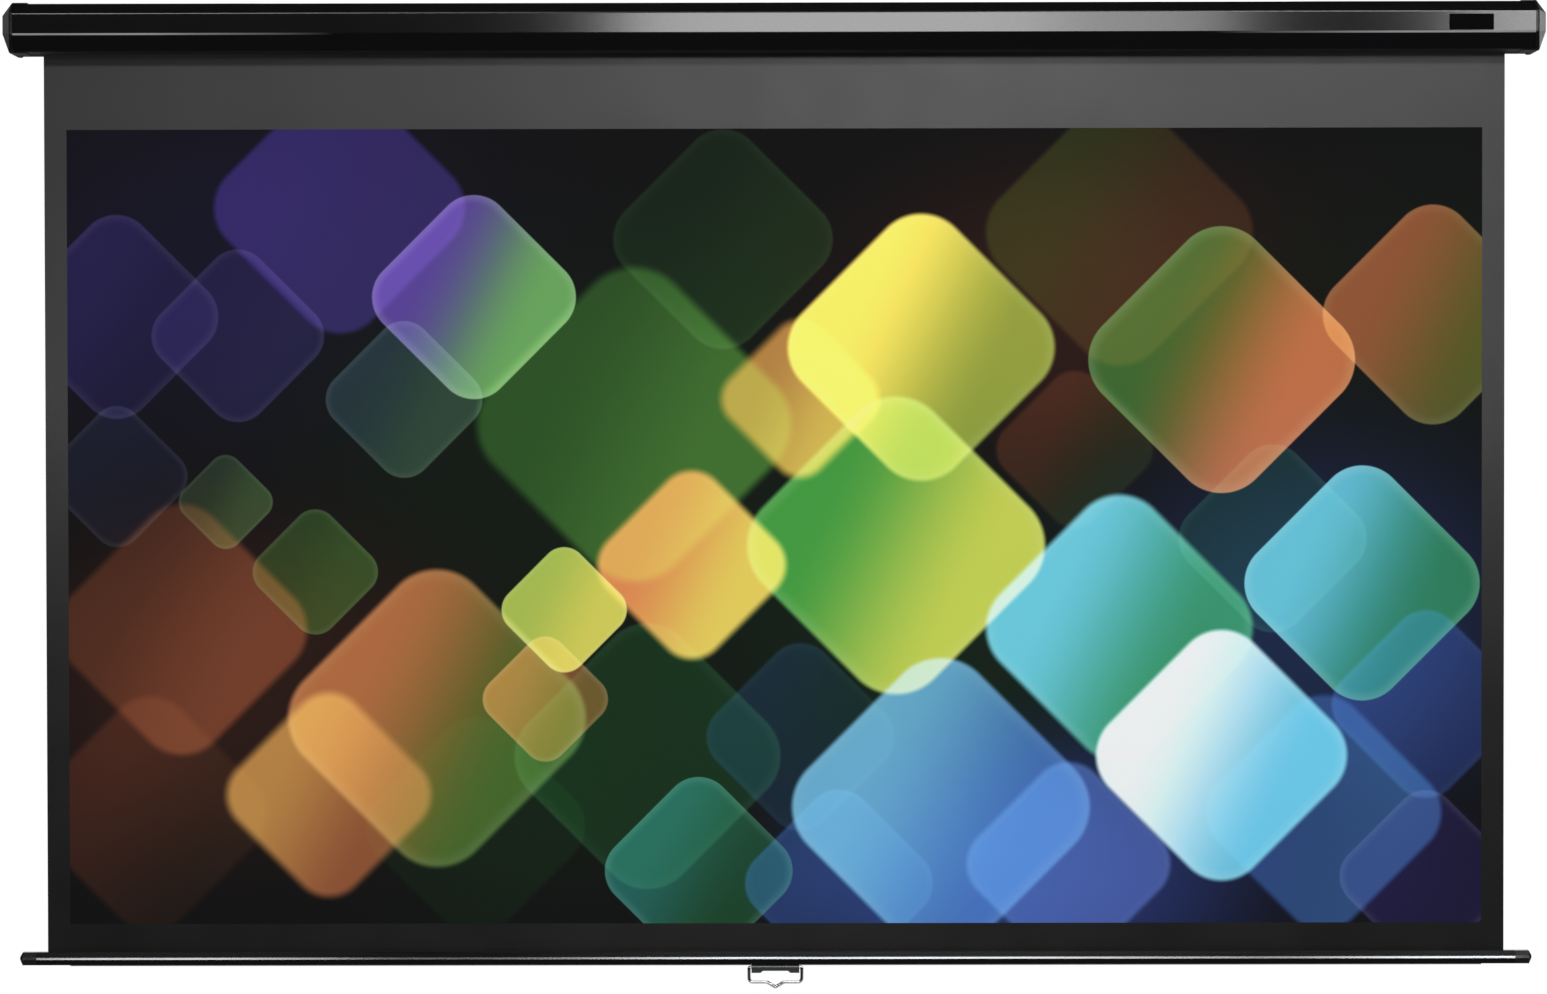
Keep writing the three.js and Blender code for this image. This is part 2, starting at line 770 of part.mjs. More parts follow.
// The plug that closes the spring end of the roller, turns on the spindle and carries the two pawls.
function pawlCarrier() {
  const turned = turnedAlongX(plugProfile(spindleRadius + fit, springSpigotRadius()), rollerY, rollerZ);
  const cuts = [railChannel()];
  for (const [y, z] of pawlPivots) {
    cuts.push(rod(pawlPinRadius + fit, rollerEndU, carrierOuter + fit, y, z));
  }
  return built(turned, [], cuts);
}

function idlePlug() {
  const turned = turnedAlongX(plugProfile(gudgeonRadius + fit, 0), rollerY, rollerZ);
  return built(turned, [], [railChannel()]);
}

// The fixed spindle, with two flats on its tip that key into the bracket.
function springSpindle() {
  const tipEnd = plateU + bracketThickness + spindleTip;
  const bar = rod(spindleRadius, tipEnd - spindleLength, tipEnd, rollerY, rollerZ);
  const cuts = [-1, 1].map((side) => {
    const near = rollerZ + (side * spindleFlat) / 2;
    const far = rollerZ + side * (spindleRadius + overrun);
    const slab = rectangle(rollerY - spindleRadius - overrun, rollerY + spindleRadius + overrun,
      Math.min(near, far), Math.max(near, far));
    return alongX(slab, plateU - fit, tipEnd + overrun);
  });
  return built(bar, [], cuts);
}

function springCollar() {
  const outer = springSpigotRadius();
  return sleeve(outer, spindleRadius + fit, springEnd, springEnd + collarLength, rollerY, rollerZ);
}

// A helix of spring wire between the collar on the spindle and the spigot of the carrier.
class SpringLine extends THREE.Curve {
  getPoint(share, target = new THREE.Vector3()) {
    const angle = share * springCurls * (Math.PI + Math.PI);
    const start = springEnd + springWire + fit;
    const end = springStart + spigotLength - springWire - fit;
    return target.set(
      start + (end - start) * share,
      rollerY + springCoilRadius * Math.cos(angle),
      rollerZ + springCoilRadius * Math.sin(angle),
    );
  }
}

function torsionSpring() {
  const line = new SpringLine();
  const steps = springCurls * springSteps;
  const rows = [];
  const centres = [];
  for (let i = 0; i <= steps; i += 1) {
    const here = line.getPoint(i / steps);
    const radial = new THREE.Vector3(0, here.y - rollerY, here.z - rollerZ).normalize();
    const ring = [];
    for (let k = 0; k < springSides; k += 1) {
      const angle = (k * (Math.PI + Math.PI)) / springSides;
      const spot = here.clone().addScaledVector(radial, springWire * Math.cos(angle));
      ring.push(spot.addScaledVector(axisX, springWire * Math.sin(angle)));
    }
    rows.push(ring);
    centres.push(here);
  }
  printLeastGap('torsion spring', centres, springWire + springWire, Math.round(springSteps / 2));
  return outward(skinned(rows));
}

// A closed tube over rings of points, with a fan of triangles on each end.
function skinned(rows) {
  const sides = rows[0].length;
  const triangles = [];
  const push = (...corners) => corners.forEach((corner) => triangles.push(corner.x, corner.y, corner.z));
  for (let i = 0; i < rows.length - 1; i += 1) {
    for (let k = 0; k < sides; k += 1) {
      const next = (k + 1) % sides;
      push(rows[i][k], rows[i][next], rows[i + 1][next]);
      push(rows[i][k], rows[i + 1][next], rows[i + 1][k]);
    }
  }
  const last = rows[rows.length - 1];
  for (let k = 1; k < sides - 1; k += 1) {
    push(rows[0][0], rows[0][k + 1], rows[0][k]);
    push(last[0], last[k], last[k + 1]);
  }
  const geometry = new THREE.BufferGeometry();
  geometry.setAttribute('position', new THREE.Float32BufferAttribute(triangles, 3));
  return geometry;
}

// Ratchet and pawls, drawn in (y, z) round the roller's axis

const pawlAngles = [0, Math.PI];
const pawlPivots = pawlAngles.map((turn) => [
  rollerY + pawlOrbit * Math.cos(turn),
  rollerZ + pawlOrbit * Math.sin(turn),
]);

// The pawl's direction and the outward normal of its nose when it leans in by an angle in degrees.
function pawlFrame(lean) {
  const angle = THREE.MathUtils.degToRad(lean);
  return {
    along: point(-Math.sin(angle), Math.cos(angle)),
    out: point(Math.cos(angle), Math.sin(angle)),
  };
}

// A notched disc on the spindle. Each notch has a face square to a locked pawl and a floor under its nose.
function ratchetWheel() {
  const disc = rod(ratchetRadius, pawlStart, pawlEnd, 0, 0, roundSides);
  const hub = rod(ratchetHubRadius, pawlEnd - fit, plateU - fit, 0, 0);
  const { along, out } = pawlFrame(pawlLockAngle);
  const root = point(pawlOrbit, 0)
    .addScaledVector(along, pawlReach + pawlClearance)
    .addScaledVector(out, -pawlWidth / 2 - pawlClearance);
  const far = ratchetRadius + pawlOrbit;
  const notch = new THREE.Shape([
    root,
    root.clone().addScaledVector(along, -far),
    root.clone().addScaledVector(along, -far).addScaledVector(out, far),
    root.clone().addScaledVector(out, far),
  ]);
  const cuts = [rod(spindleRadius + fit, pawlStart - overrun, plateU + overrun, 0, 0)];
  for (let i = 0; i < ratchetNotches; i += 1) {
    const cutter = alongX(notch, pawlStart - fit, pawlEnd);
    cuts.push(cutter.rotateX((i * (Math.PI + Math.PI)) / ratchetNotches));
  }
  return built(disc, [hub], cuts).translate(0, rollerY, rollerZ);
}

// A swinging dog on a pin of the carrier, shown thrown clear of the ratchet.
function pawl(turn) {
  const { along, out } = pawlFrame(pawlOutAngle);
  const pivot = point(pawlOrbit, 0);
  const half = pawlWidth / 2;
  const corner = (reach, side) => pivot.clone().addScaledVector(along, reach).addScaledVector(out, side);
  const nose = pawlReach - half;
  const arm = new THREE.Shape([
    corner(0, -half),
    corner(0, half),
    corner(nose, half),
    corner(pawlReach, half / 2),
    corner(pawlReach, -half),
  ]);
  const body = alongX(arm, pawlStart, pawlEnd);
  const hub = rod(pawlHubRadius, pawlStart, pawlEnd, pawlOrbit, 0);
  const hole = rod(pawlPinRadius + fit, pawlStart - overrun, pawlEnd + overrun, pawlOrbit, 0);
  return built(body, [hub], [hole]).rotateX(turn).translate(0, rollerY, rollerZ);
}

function pawlPin([y, z]) {
  const profile = [
    [rollerEndU + fit, 0],
    [rollerEndU + fit, pawlPinRadius],
    [pawlEnd + fit, pawlPinRadius],
    [pawlEnd + fit, pawlPinHead],
    [pawlEnd + fit + pawlPinHeadHeight, pawlPinHead],
    [pawlEnd + fit + pawlPinHeadHeight, 0],
  ];
  return turnedAlongX(profile, y, z, smallSides);
}

// Idle end

function idleBush() {
  const bore = gudgeonRadius + fit;
  const back = plateU + bracketThickness;
  const profile = [
    [plateU - fit - bushFlange, bore],
    [plateU - fit - bushFlange, bushFlangeRadius],
    [plateU - fit, bushFlangeRadius],
    [plateU - fit, bushRadius],
    [back, bushRadius],
    [back, bore],
    [plateU - fit - bushFlange, bore],
  ];
  return turnedAlongX(profile, rollerY, rollerZ);
}

function gudgeonPin() {
  const end = plateU + bracketThickness + looseFit + clipThickness + looseFit;
  return rod(gudgeonRadius, rollerEndU - gudgeonEmbed, end, rollerY, rollerZ);
}

// A retaining ring on the pin, outside the bracket.
function gudgeonClip() {
  const start = plateU + bracketThickness + fit;
  const ring = sleeve(clipRadius, gudgeonRadius + fit, start, start + clipThickness, rollerY, rollerZ);
  const mouth = alongX(rectangle(rollerY - gudgeonRadius, rollerY + gudgeonRadius, rollerZ - clipRadius - overrun,
    rollerZ - gudgeonRadius / 2), start - fit, start + clipThickness + fit);
  return built(ring, [], [mouth]);
}

// Weight bar, drawn in (y, z) round the bar's centre

const ridgeTop = barRidgeRise + barRidge / 2;
const ridgeBottom = barRidgeRise - barRidge / 2;
const ridgeTopY = barDepth / 2 - barRidgeLean;
const barOutline = [
  point(-barTopWidth / 2, barHeight / 2),
  point(-ridgeTopY, ridgeTop),
  point(-barDepth / 2, ridgeBottom),
  point(-barBottomWidth / 2, -barHeight / 2),
  point(barBottomWidth / 2, -barHeight / 2),
  point(barDepth / 2, ridgeBottom),
  point(ridgeTopY, ridgeTop),
  point(barTopWidth / 2, barHeight / 2),
];
const hemChannelZ = barHeight / 2 - hemChannelDepth;
const hemChannelRadius = hemRodRadius + fit + fabricThickness + fit;
const barPlace = new THREE.Vector3(0, fabricY, barZ);
const trackFloor = -barHeight / 2 + trackLip;

// An extruded bar with a keyhole channel for the hem on top and a T track underneath.
function weightBar() {
  const reach = barHalf + overrun;
  const body = alongX(new THREE.Shape(barOutline), -barHalf, barHalf);
  const cuts = [
    rod(hemChannelRadius, -reach, reach, 0, hemChannelZ),
    alongX(rectangle(-hemNeck / 2, hemNeck / 2, hemChannelZ, barHeight), -reach, reach),
    alongX(rectangle(-trackWidth / 2, trackWidth / 2, trackFloor, trackFloor + trackHeight), -reach, reach),
    alongX(rectangle(-trackNeck / 2, trackNeck / 2, -barHeight, trackFloor + fit), -reach, reach),
  ];
  return built(body, [], cuts);
}

// A moulded end plug: the bar's own section, then a taper to a blunt ridge, with a prong in the hem channel.
function barPlug() {
  const points = [];
  const end = barHalf + plugEnd;
  const blunt = end - plugTaper;
  for (const corner of barOutline) {
    points.push(new THREE.Vector3(barHalf + fit, corner.x, corner.y));
    points.push(new THREE.Vector3(blunt, corner.x, corner.y));
  }
  for (const z of [ridgeTop, ridgeBottom]) {
    points.push(new THREE.Vector3(end, -barTopWidth / 2, z));
    points.push(new THREE.Vector3(end, barTopWidth / 2, z));
  }
  const prongRadius = hemChannelRadius - fit;
  const prong = rod(prongRadius, fabricWidth / 2 + fit, barHalf + fit + plugTaper, 0, hemChannelZ);
  return built(outward(new ConvexGeometry(points)), [prong], []);
}

// Half of the flexible strip that closes the bar's track on one side of the handle.
function trackStrip(start, end) {
  const head = trackWidth / 2 - fit;
  const stem = trackNeck / 2 - fit;
  const bottom = -barHeight / 2 - stripDrop;
  const top = trackFloor + trackHeight - fit;
  const shape = new THREE.Shape([
    point(-stem, bottom),
    point(stem, bottom),
    point(stem, trackFloor + fit),
    point(head, trackFloor + fit),
    point(head, top),
    point(-head, top),
    point(-head, trackFloor + fit),
    point(-stem, trackFloor + fit),
  ]);
  return alongX(shape, start, end);
}

// Handle, drawn in (y, z) round the pivot of the bail

const barrelInner = bailWire + bailRunning;
const barrelOuter = barrelInner + barrelWall;
const pivotPlace = new THREE.Vector3(0, fabricY, pivotZ);

// A slide-in holder: a T head in the bar's track, a rolled barrel for the wire, and a skirt with two feet.
function handleHolder() {
  const half = holderLength / 2;
  const head = trackWidth / 2 - fit;
  const stem = trackNeck / 2 - fit;
  const seat = barZ + trackFloor - pivotZ;
  const tee = new THREE.Shape([
    point(-stem, 0),
    point(stem, 0),
    point(stem, seat + fit),
    point(head, seat + fit),
    point(head, seat + trackHeight - fit),
    point(-head, seat + trackHeight - fit),
    point(-head, seat + fit),
    point(-stem, seat + fit),
  ]);
  const barrel = rod(barrelOuter, -half, half, 0, 0, roundSides);
  const foot = half - holderFoot;
  const notchTop = -barrelOuter - holderSkirt / 2;
  const skirtOutline = new THREE.Shape([
    point(-half, 0),
    point(-half, -holderDrop),
    point(-foot, -holderDrop),
    point(-foot + holderNotch, notchTop),
    point(foot - holderNotch, notchTop),
    point(foot, -holderDrop),
    point(half, -holderDrop),
    point(half, 0),
  ]);
  const skirt = alongY(skirtOutline, -barrelOuter, holderSkirt - barrelOuter);
  const bore = rod(barrelInner, -half - overrun, half + overrun, 0, 0, roundSides);
  return built(barrel, [alongX(tee, -half, half), skirt], [bore]);
}

// A wire path in (x, z) whose corners are eased by the given radii.
class WirePath extends THREE.CurvePath {
  constructor(corners, radii) {
    super();
    const lift = (spot) => new THREE.Vector3(spot.x, 0, spot.y);
    let from = corners[0];
    for (let i = 1; i < corners.length - 1; i += 1) {
      const before = corners[i - 1].clone().sub(corners[i]).normalize();
      const after = corners[i + 1].clone().sub(corners[i]).normalize();
      const half = Math.acos(before.dot(after)) / 2;
      const reach = radii[i] / Math.tan(half);
      const start = corners[i].clone().addScaledVector(before, reach);
      const end = corners[i].clone().addScaledVector(after, reach);
      this.add(new THREE.LineCurve3(lift(from), lift(start)));
      this.add(new THREE.QuadraticBezierCurve3(lift(start), lift(corners[i]), lift(end)));
      from = end;
    }
    this.add(new THREE.LineCurve3(lift(from), lift(corners[corners.length - 1])));
  }
}

// The pull: one wire, from inside the barrel round a flat-bottomed loop with a V point, and back in.
function handleBail() {
  const side = bailWidth / 2 - bailWire;
  const floor = bailWire - bailDrop;
  const half = bailPointWidth / 2;
  const corners = [
    point(-bailEndGap / 2, 0),
    point(-side, 0),
    point(-side, floor),
    point(-half, floor),
    point(0, floor - bailPointDrop),
    point(half, floor),
    point(side, floor),
    point(side, 0),
    point(bailEndGap / 2, 0),
  ];
  const easing = [0, bailShoulder, bailBend, bailBend, bailPointBend, bailBend, bailBend, bailShoulder, 0];
  const path = new WirePath(corners, easing);
  const section = discShape(0, 0, bailWire);
  return new THREE.ExtrudeGeometry(section, {
    steps: bailSteps,
    bevelEnabled: false,
    extrudePath: path,
    curveSegments: bailArcs,
  });
}

// Assembly

addPiece('case_shell', caseShell(), blackPowderCoat);

const spindleSlot = alongX(
  rectangle(rollerY - spindleRadius - fit, rollerY + spindleRadius + fit, rollerZ - spindleFlat / 2 - fit,
    rollerZ + spindleFlat / 2 + fit),
  plateU - fit,
  plateU + bracketThickness + fit,
);
const bushHole = rod(bushRadius + fit, plateU - fit, plateU + bracketThickness + fit, rollerY, rollerZ,
  roundSides);

const ends = [
  { side: -1, word: 'left', bore: spindleSlot },
  { side: 1, word: 'right', bore: bushHole },
];
for (const { side, word, bore } of ends) {
  addEndPiece(side, `end_cap_${word}`, endCap(), blackPlastic);
  addEndPiece(side, `end_bracket_${word}`, endBracket(bore), zincSteel);
  rivetPlaces.forEach((place, i) => {
    addEndPiece(side, `bracket_rivet_${word}_${i + 1}`, bracketRivet(place), zincSteel);
  });
  screwPlaces.forEach((place, i) => {
    addEndPiece(side, `cap_screw_${word}_${i + 1}`, capScrew(place), zincSteel);
  });
}

const rollerPlace = new THREE.Vector3(0, rollerY, rollerZ);
addPiece('roller_tube', rollerTube(), rollerAluminium, rollerPlace);
addPiece('fabric_spline', rod(splineRadius, -fabricWidth / 2, fabricWidth / 2, -pocketCentre, 0), whiteNylon,
  rollerPlace);
addPiece('fabric_roll', fabricRoll(), maskedFabric, rollerPlace);
addPiece('fabric_sheet', fabricSheet(), maskedFabric);

addEndPiece(-1, 'spring_spindle', springSpindle(), zincSteel);
addEndPiece(-1, 'pawl_carrier', pawlCarrier(), whiteNylon);
addEndPiece(-1, 'ratchet_wheel', ratchetWheel(), zincSteel);
addEndPiece(-1, 'torsion_spring', torsionSpring(), springSteel);
addEndPiece(-1, 'spring_collar', springCollar(), whiteNylon);
pawlAngles.forEach((turn, i) => {
  const word = ['a', 'b'][i];
  addEndPiece(-1, `pawl_${word}`, pawl(turn), zincSteel);
  addEndPiece(-1, `pawl_pin_${word}`, pawlPin(pawlPivots[i]), zincSteel);
});

addEndPiece(1, 'idle_plug', idlePlug(), whiteNylon);
addEndPiece(1, 'gudgeon_pin', gudgeonPin(), zincSteel);
addEndPiece(1, 'idle_bush', idleBush(), whiteNylon);
addEndPiece(1, 'gudgeon_clip', gudgeonClip(), zincSteel);

addPiece('weight_bar', weightBar(), blackBar, barPlace);
addPiece('hem_rod', rod(hemRodRadius, -fabricWidth / 2, fabricWidth / 2, 0, hemChannelZ), whiteNylon, barPlace);
addPiece('bar_plug_left', mirrored(barPlug()), blackPlastic, barPlace);
addPiece('bar_plug_right', barPlug(), blackPlastic, barPlace);
const stripStart = holderLength / 2 + fit;
addPiece('track_strip_left', trackStrip(-pictureWidth / 2, -stripStart), greyStrip, barPlace);
addPiece('track_strip_right', trackStrip(stripStart, pictureWidth / 2), greyStrip, barPlace);
addPiece('handle_holder', handleHolder(), greyHolder, pivotPlace);
addPiece('handle_bail', handleBail(), chromeWire, pivotPlace);

export default screen;
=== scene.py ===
"""Pull-down projection screen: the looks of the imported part, in metres, +Z up, the viewer on -Y."""

import logging
import math
from dataclasses import dataclass
from enum import Enum

import bmesh
import bpy
from bmesh.types import BMEdge, BMesh, BMVert
from bpy.types import Material, Node, NodeSocket, NodeTree, Object
from mathutils import Euler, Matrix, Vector


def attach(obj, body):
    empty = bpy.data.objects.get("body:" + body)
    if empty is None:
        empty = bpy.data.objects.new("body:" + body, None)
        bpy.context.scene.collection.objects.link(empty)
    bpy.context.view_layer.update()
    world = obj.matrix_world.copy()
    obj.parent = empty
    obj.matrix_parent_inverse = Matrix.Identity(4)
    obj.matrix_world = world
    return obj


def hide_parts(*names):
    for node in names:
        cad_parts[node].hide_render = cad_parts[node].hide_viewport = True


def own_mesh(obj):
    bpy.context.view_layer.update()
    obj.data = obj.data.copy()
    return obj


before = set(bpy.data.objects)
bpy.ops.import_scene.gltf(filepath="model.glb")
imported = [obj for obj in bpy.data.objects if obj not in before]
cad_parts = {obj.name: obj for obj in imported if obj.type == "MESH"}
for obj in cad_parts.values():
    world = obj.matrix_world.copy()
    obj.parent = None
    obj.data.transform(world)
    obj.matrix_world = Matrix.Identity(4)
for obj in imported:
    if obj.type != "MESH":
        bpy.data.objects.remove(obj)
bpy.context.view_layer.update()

log = logging.getLogger("projection_screen")
MM = 0.001
MERGE = 0.01 * MM
FORWARD = -0.5  # a face looks at the viewer where the Y of its normal is under this
FULL_TURN = 2.0 * math.pi

# Sizes shared by several pieces, in metres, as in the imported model
FABRIC_Y = -0.01795
ROLLER_Y = -0.040
ROLLER_Z = 0.001
FABRIC_WIDTH = 2.284
FABRIC_THICKNESS = 0.0005
PICTURE_HALF = 1.107
PICTURE_TOP = -0.154
PICTURE_BOTTOM = -1.399
BAR_TOP = -1.443
PIVOT_Z = -1.4682

# The lozenges of the picture: corner radius and blur as shares of their size, and the pale rim round them
LOZENGE_CORNER = 0.45
LOZENGE_BLUR = 0.1
RIM_SHARE = 0.22
RIM_START = 0.72
RIM_END = 1.02
RIM_COLOUR = "#edf3ed"
GROUND_COLOUR = "#0b0a18"
SHADE_LEAN = 0.35
SHADE_REACH = 0.8

# The picture is painted light, a projector's image laid into the white cloth's colour. How its colours are
# toned: deeper in the shadows, held back a little in strength, over a faint veil of grey, and never paler
# than the cloth's own white
PROJECTION_CONTRAST = 1.6
PROJECTION_STRENGTH = 0.9
PROJECTION_GAIN = 1.12
PROJECTION_VEIL = 0.006
PROJECTION_WHITE = 0.9

# Between which values a noise mostly lies
NOISE_LOW, NOISE_HIGH = 0.3, 0.7

# The colour sockets of a Mix node, by number
FACTOR, FIRST, SECOND, MIXED = 0, 6, 7, 2


class Body(Enum):
    """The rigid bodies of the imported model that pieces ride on."""

    CASE = "case"
    ROLLER = "roller"
    SCREEN_BAR = "screen_bar"
    BAIL = "bail"


class Slot(Enum):
    """The record's material slots of the new pieces."""

    CAPS = "caps"
    FABRIC = "screen_fabric"
    BAIL = "bail"


# Nodes of a material


def linear(code: str, alpha: float = 1.0) -> tuple[float, float, float, float]:
    """Turn an sRGB hex colour into the linear colour that shaders use.

    Args:
        code: Six hex digits with or without a leading #.
        alpha: The colour's fourth value.

    Returns:
        Linear red, green, blue and alpha.
    """
    digits = code.lstrip("#")
    channels = [int(digits[i : i + 2], 16) / 255.0 for i in (0, 2, 4)]
    lit = [c / 12.92 if c <= 0.04045 else ((c + 0.055) / 1.055) ** 2.4 for c in channels]
    return (lit[0], lit[1], lit[2], alpha)


def per_mm(size_mm: float) -> float:
    """Give the texture scale whose features are size_mm apart on Object coordinates."""
    return 1.0 / (size_mm * MM)


def add_node(tree: NodeTree, kind: str, inputs: dict | None = None, **settings: object) -> Node:
    """Add one node with its settings and what feeds it.

    Args:
        tree: The node tree.
        kind: The node's type.
        inputs: A constant, or the output socket to link, by the input's name or number.
        **settings: Attributes of the node itself.

    Returns:
        The new node.
    """
    node = tree.nodes.new(kind)
    for name, value in settings.items():
        setattr(node, name, value)
    for name, value in (inputs or {}).items():
        if isinstance(value, NodeSocket):
            tree.links.new(value, node.inputs[name])
        else:
            node.inputs[name].default_value = value
    return node


def matt_under(tree: NodeTree, coords: NodeSocket, roughness: NodeSocket,
               edge: float, depth: float) -> NodeSocket:
    """Raise a roughness to fully matt under a height, where the coat is thin, down to a depth below it.

    Args:
        tree: The node tree.
        coords: The Object coordinates.
        roughness: The roughness elsewhere.
        edge: The height in metres under which the surface is matt.
        depth: How far below the edge that holds, in metres.

    Returns:
        The roughness to use.
    """
    matt = 0.85
    height = add_node(tree, "ShaderNodeSeparateXYZ", {"Vector": coords}).outputs["Z"]
    half = depth / 2.0
    under = add_node(tree, "ShaderNodeMath", {0: height, 1: edge - half, 2: half}, operation="COMPARE")
    rough = add_node(tree, "ShaderNodeMath", {0: under.outputs[0], 1: matt}, operation="MULTIPLY").outputs[0]
    return add_node(tree, "ShaderNodeMath", {0: roughness, 1: rough}, operation="MAXIMUM").outputs[0]


# Finishes


class Surface:
    """A finish whose material is one Principled shader, fed by the finish's own patterns."""

    name: str

    def sockets(self, tree: NodeTree, coords: NodeSocket) -> dict:
        """Add the finish's patterns.

        Args:
            tree: The material's node tree.
            coords: The Object coordinates.

        Returns:
            A constant or an output socket by the name of the shader's input.
        """
        raise NotImplementedError

    def material(self) -> Material:
        """Give the material, built on its first use.

        Returns:
            The material.
        """
        found = bpy.data.materials.get(self.name)
        if found is not None:
            return found
        material = bpy.data.materials.new(self.name)
        material.use_nodes = True
        tree = material.node_tree
        tree.nodes.clear()
        coords = add_node(tree, "ShaderNodeTexCoord").outputs["Object"]
        shader = add_node(tree, "ShaderNodeBsdfPrincipled", self.sockets(tree, coords))
        add_node(tree, "ShaderNodeOutputMaterial", {"Surface": shader.outputs["BSDF"]})
        return material


class Mottled(Surface):
    """A finish whose colour drifts between a dark and a light one."""

    dark: str
    light: str

    def mottled(self, tree: NodeTree, coords: NodeSocket, size_mm: float,
                detail: float = 3.0) -> tuple[NodeSocket, NodeSocket]:
        """Add the drift of the colour.

        Args:
            tree: The material's node tree.
            coords: The Object coordinates.
            size_mm: How far apart the patches are.
            detail: How many finer layers the patches have.

        Returns:
            The drift's value, and the colour.
        """
        drift = add_node(tree, "ShaderNodeTexNoise", {
            "Vector": coords, "Scale": per_mm(size_mm), "Detail": detail}).outputs["Fac"]
        colour = add_node(tree, "ShaderNodeMix", {
            FACTOR: drift, FIRST: linear(self.dark), SECOND: linear(self.light)},
            data_type="RGBA").outputs[MIXED]
        return drift, colour


@dataclass(frozen=True)
class PowderCoat(Mottled):
    """Black polyester powder coat on steel, sprayed and baked: satin, with a fine orange peel that sparkles.
    Towards the ends a painted highlight lies along the lower fold of the front: a light grey that stands in
    for the lamps mirrored on that fold."""

    name: str = "black_satin_powder_coat"
    dark: str = "#09090a"
    light: str = "#0e0e10"
    # painted highlight: a light grey on the lower fold towards the ends, in place of the lamps' reflection
    # there
    painted_highlight: str = "#a2a4a6"
    fold_top: float = -0.0101
    fold_bottom: float = -0.0133
    fold_front: float = -0.0745
    fold_blur: float = 0.0004
    highlight_from: float = 0.68
    highlight_to: float = 1.0
    highlight_share: tuple[float, float] = (0.6, 0.95)
    highlight_patch_mm: float = 260.0
    lip_top: float = -0.0372
    lip_depth: float = 0.004
    peel_mm: float = 2.0  # real peel is 1 to 2 mm, drawn at its coarse end to show
    peel_depth_mm: float = 0.011
    patch_mm: float = 90.0
    roughness: tuple[float, float] = (0.10, 0.15)
    ior: float = 1.52

    def fold(self, tree: NodeTree, coords: NodeSocket) -> NodeSocket:
        """Give 1 on the fold's painted highlight and 0 elsewhere, uneven along its length.

        Args:
            tree: The material's node tree.
            coords: The Object coordinates.

        Returns:
            The painted highlight, from 0 to 1.
        """
        split = add_node(tree, "ShaderNodeSeparateXYZ", {"Vector": coords}).outputs
        along = add_node(tree, "ShaderNodeMapping", {"Vector": coords, "Scale": (1.0, 0.0, 0.0)}).outputs[0]
        highlight_unevenness = add_node(tree, "ShaderNodeTexNoise", {
            "Vector": along, "Scale": per_mm(self.highlight_patch_mm)}).outputs["Fac"]
        wear_and_painted_highlight = add_node(tree, "ShaderNodeMapRange", {
            "Value": highlight_unevenness, "From Min": NOISE_LOW, "From Max": NOISE_HIGH,
            "To Min": self.highlight_share[0], "To Max": self.highlight_share[1]}).outputs[0]
        outward = add_node(tree, "ShaderNodeMath", {0: split["X"]}, operation="ABSOLUTE").outputs[0]
        for value, start, end in ((split["Z"], self.fold_top, self.fold_top - self.fold_blur),
                                  (split["Z"], self.fold_bottom, self.fold_bottom + self.fold_blur),
                                  (split["Y"], self.fold_front, self.fold_front - self.fold_blur),
                                  (outward, self.highlight_from, self.highlight_to)):
            step = add_node(tree, "ShaderNodeMapRange", {
                "Value": value, "From Min": start, "From Max": end}).outputs[0]
            wear_and_painted_highlight = add_node(tree, "ShaderNodeMath", {0: wear_and_painted_highlight, 1: step}, operation="MULTIPLY").outputs[0]
        return wear_and_painted_highlight

    def sockets(self, tree: NodeTree, coords: NodeSocket) -> dict:
        """Add the peel, the uneven film and the painted highlight on the fold.

        Args:
            tree: The material's node tree.
            coords: The Object coordinates.

        Returns:
            What feeds the shader, by the input's name.
        """
        peel = add_node(tree, "ShaderNodeTexNoise", {
            "Vector": coords, "Scale": per_mm(self.peel_mm), "Detail": 3.0, "Roughness": 0.6}).outputs["Fac"]
        _, paint = self.mottled(tree, coords, self.patch_mm, detail=2.0)
        # the painted highlight on the fold is mixed into the coat's colour
        wear_and_painted_highlight = add_node(tree, "ShaderNodeMix", {
            FACTOR: self.fold(tree, coords), FIRST: paint, SECOND: linear(self.painted_highlight)}, data_type="RGBA")
        satin = add_node(tree, "ShaderNodeMapRange", {
            "Value": peel, "From Min": NOISE_LOW, "From Max": NOISE_HIGH,
            "To Min": self.roughness[0], "To Max": self.roughness[1]}).outputs[0]
        bump = add_node(tree, "ShaderNodeBump", {"Height": peel, "Distance": self.peel_depth_mm * MM})
        return {
            "Base Color": wear_and_painted_highlight.outputs[MIXED],
            "Roughness": matt_under(tree, coords, satin, self.lip_top, self.lip_depth),
            "IOR": self.ior,
            "Normal": bump.outputs["Normal"],
        }


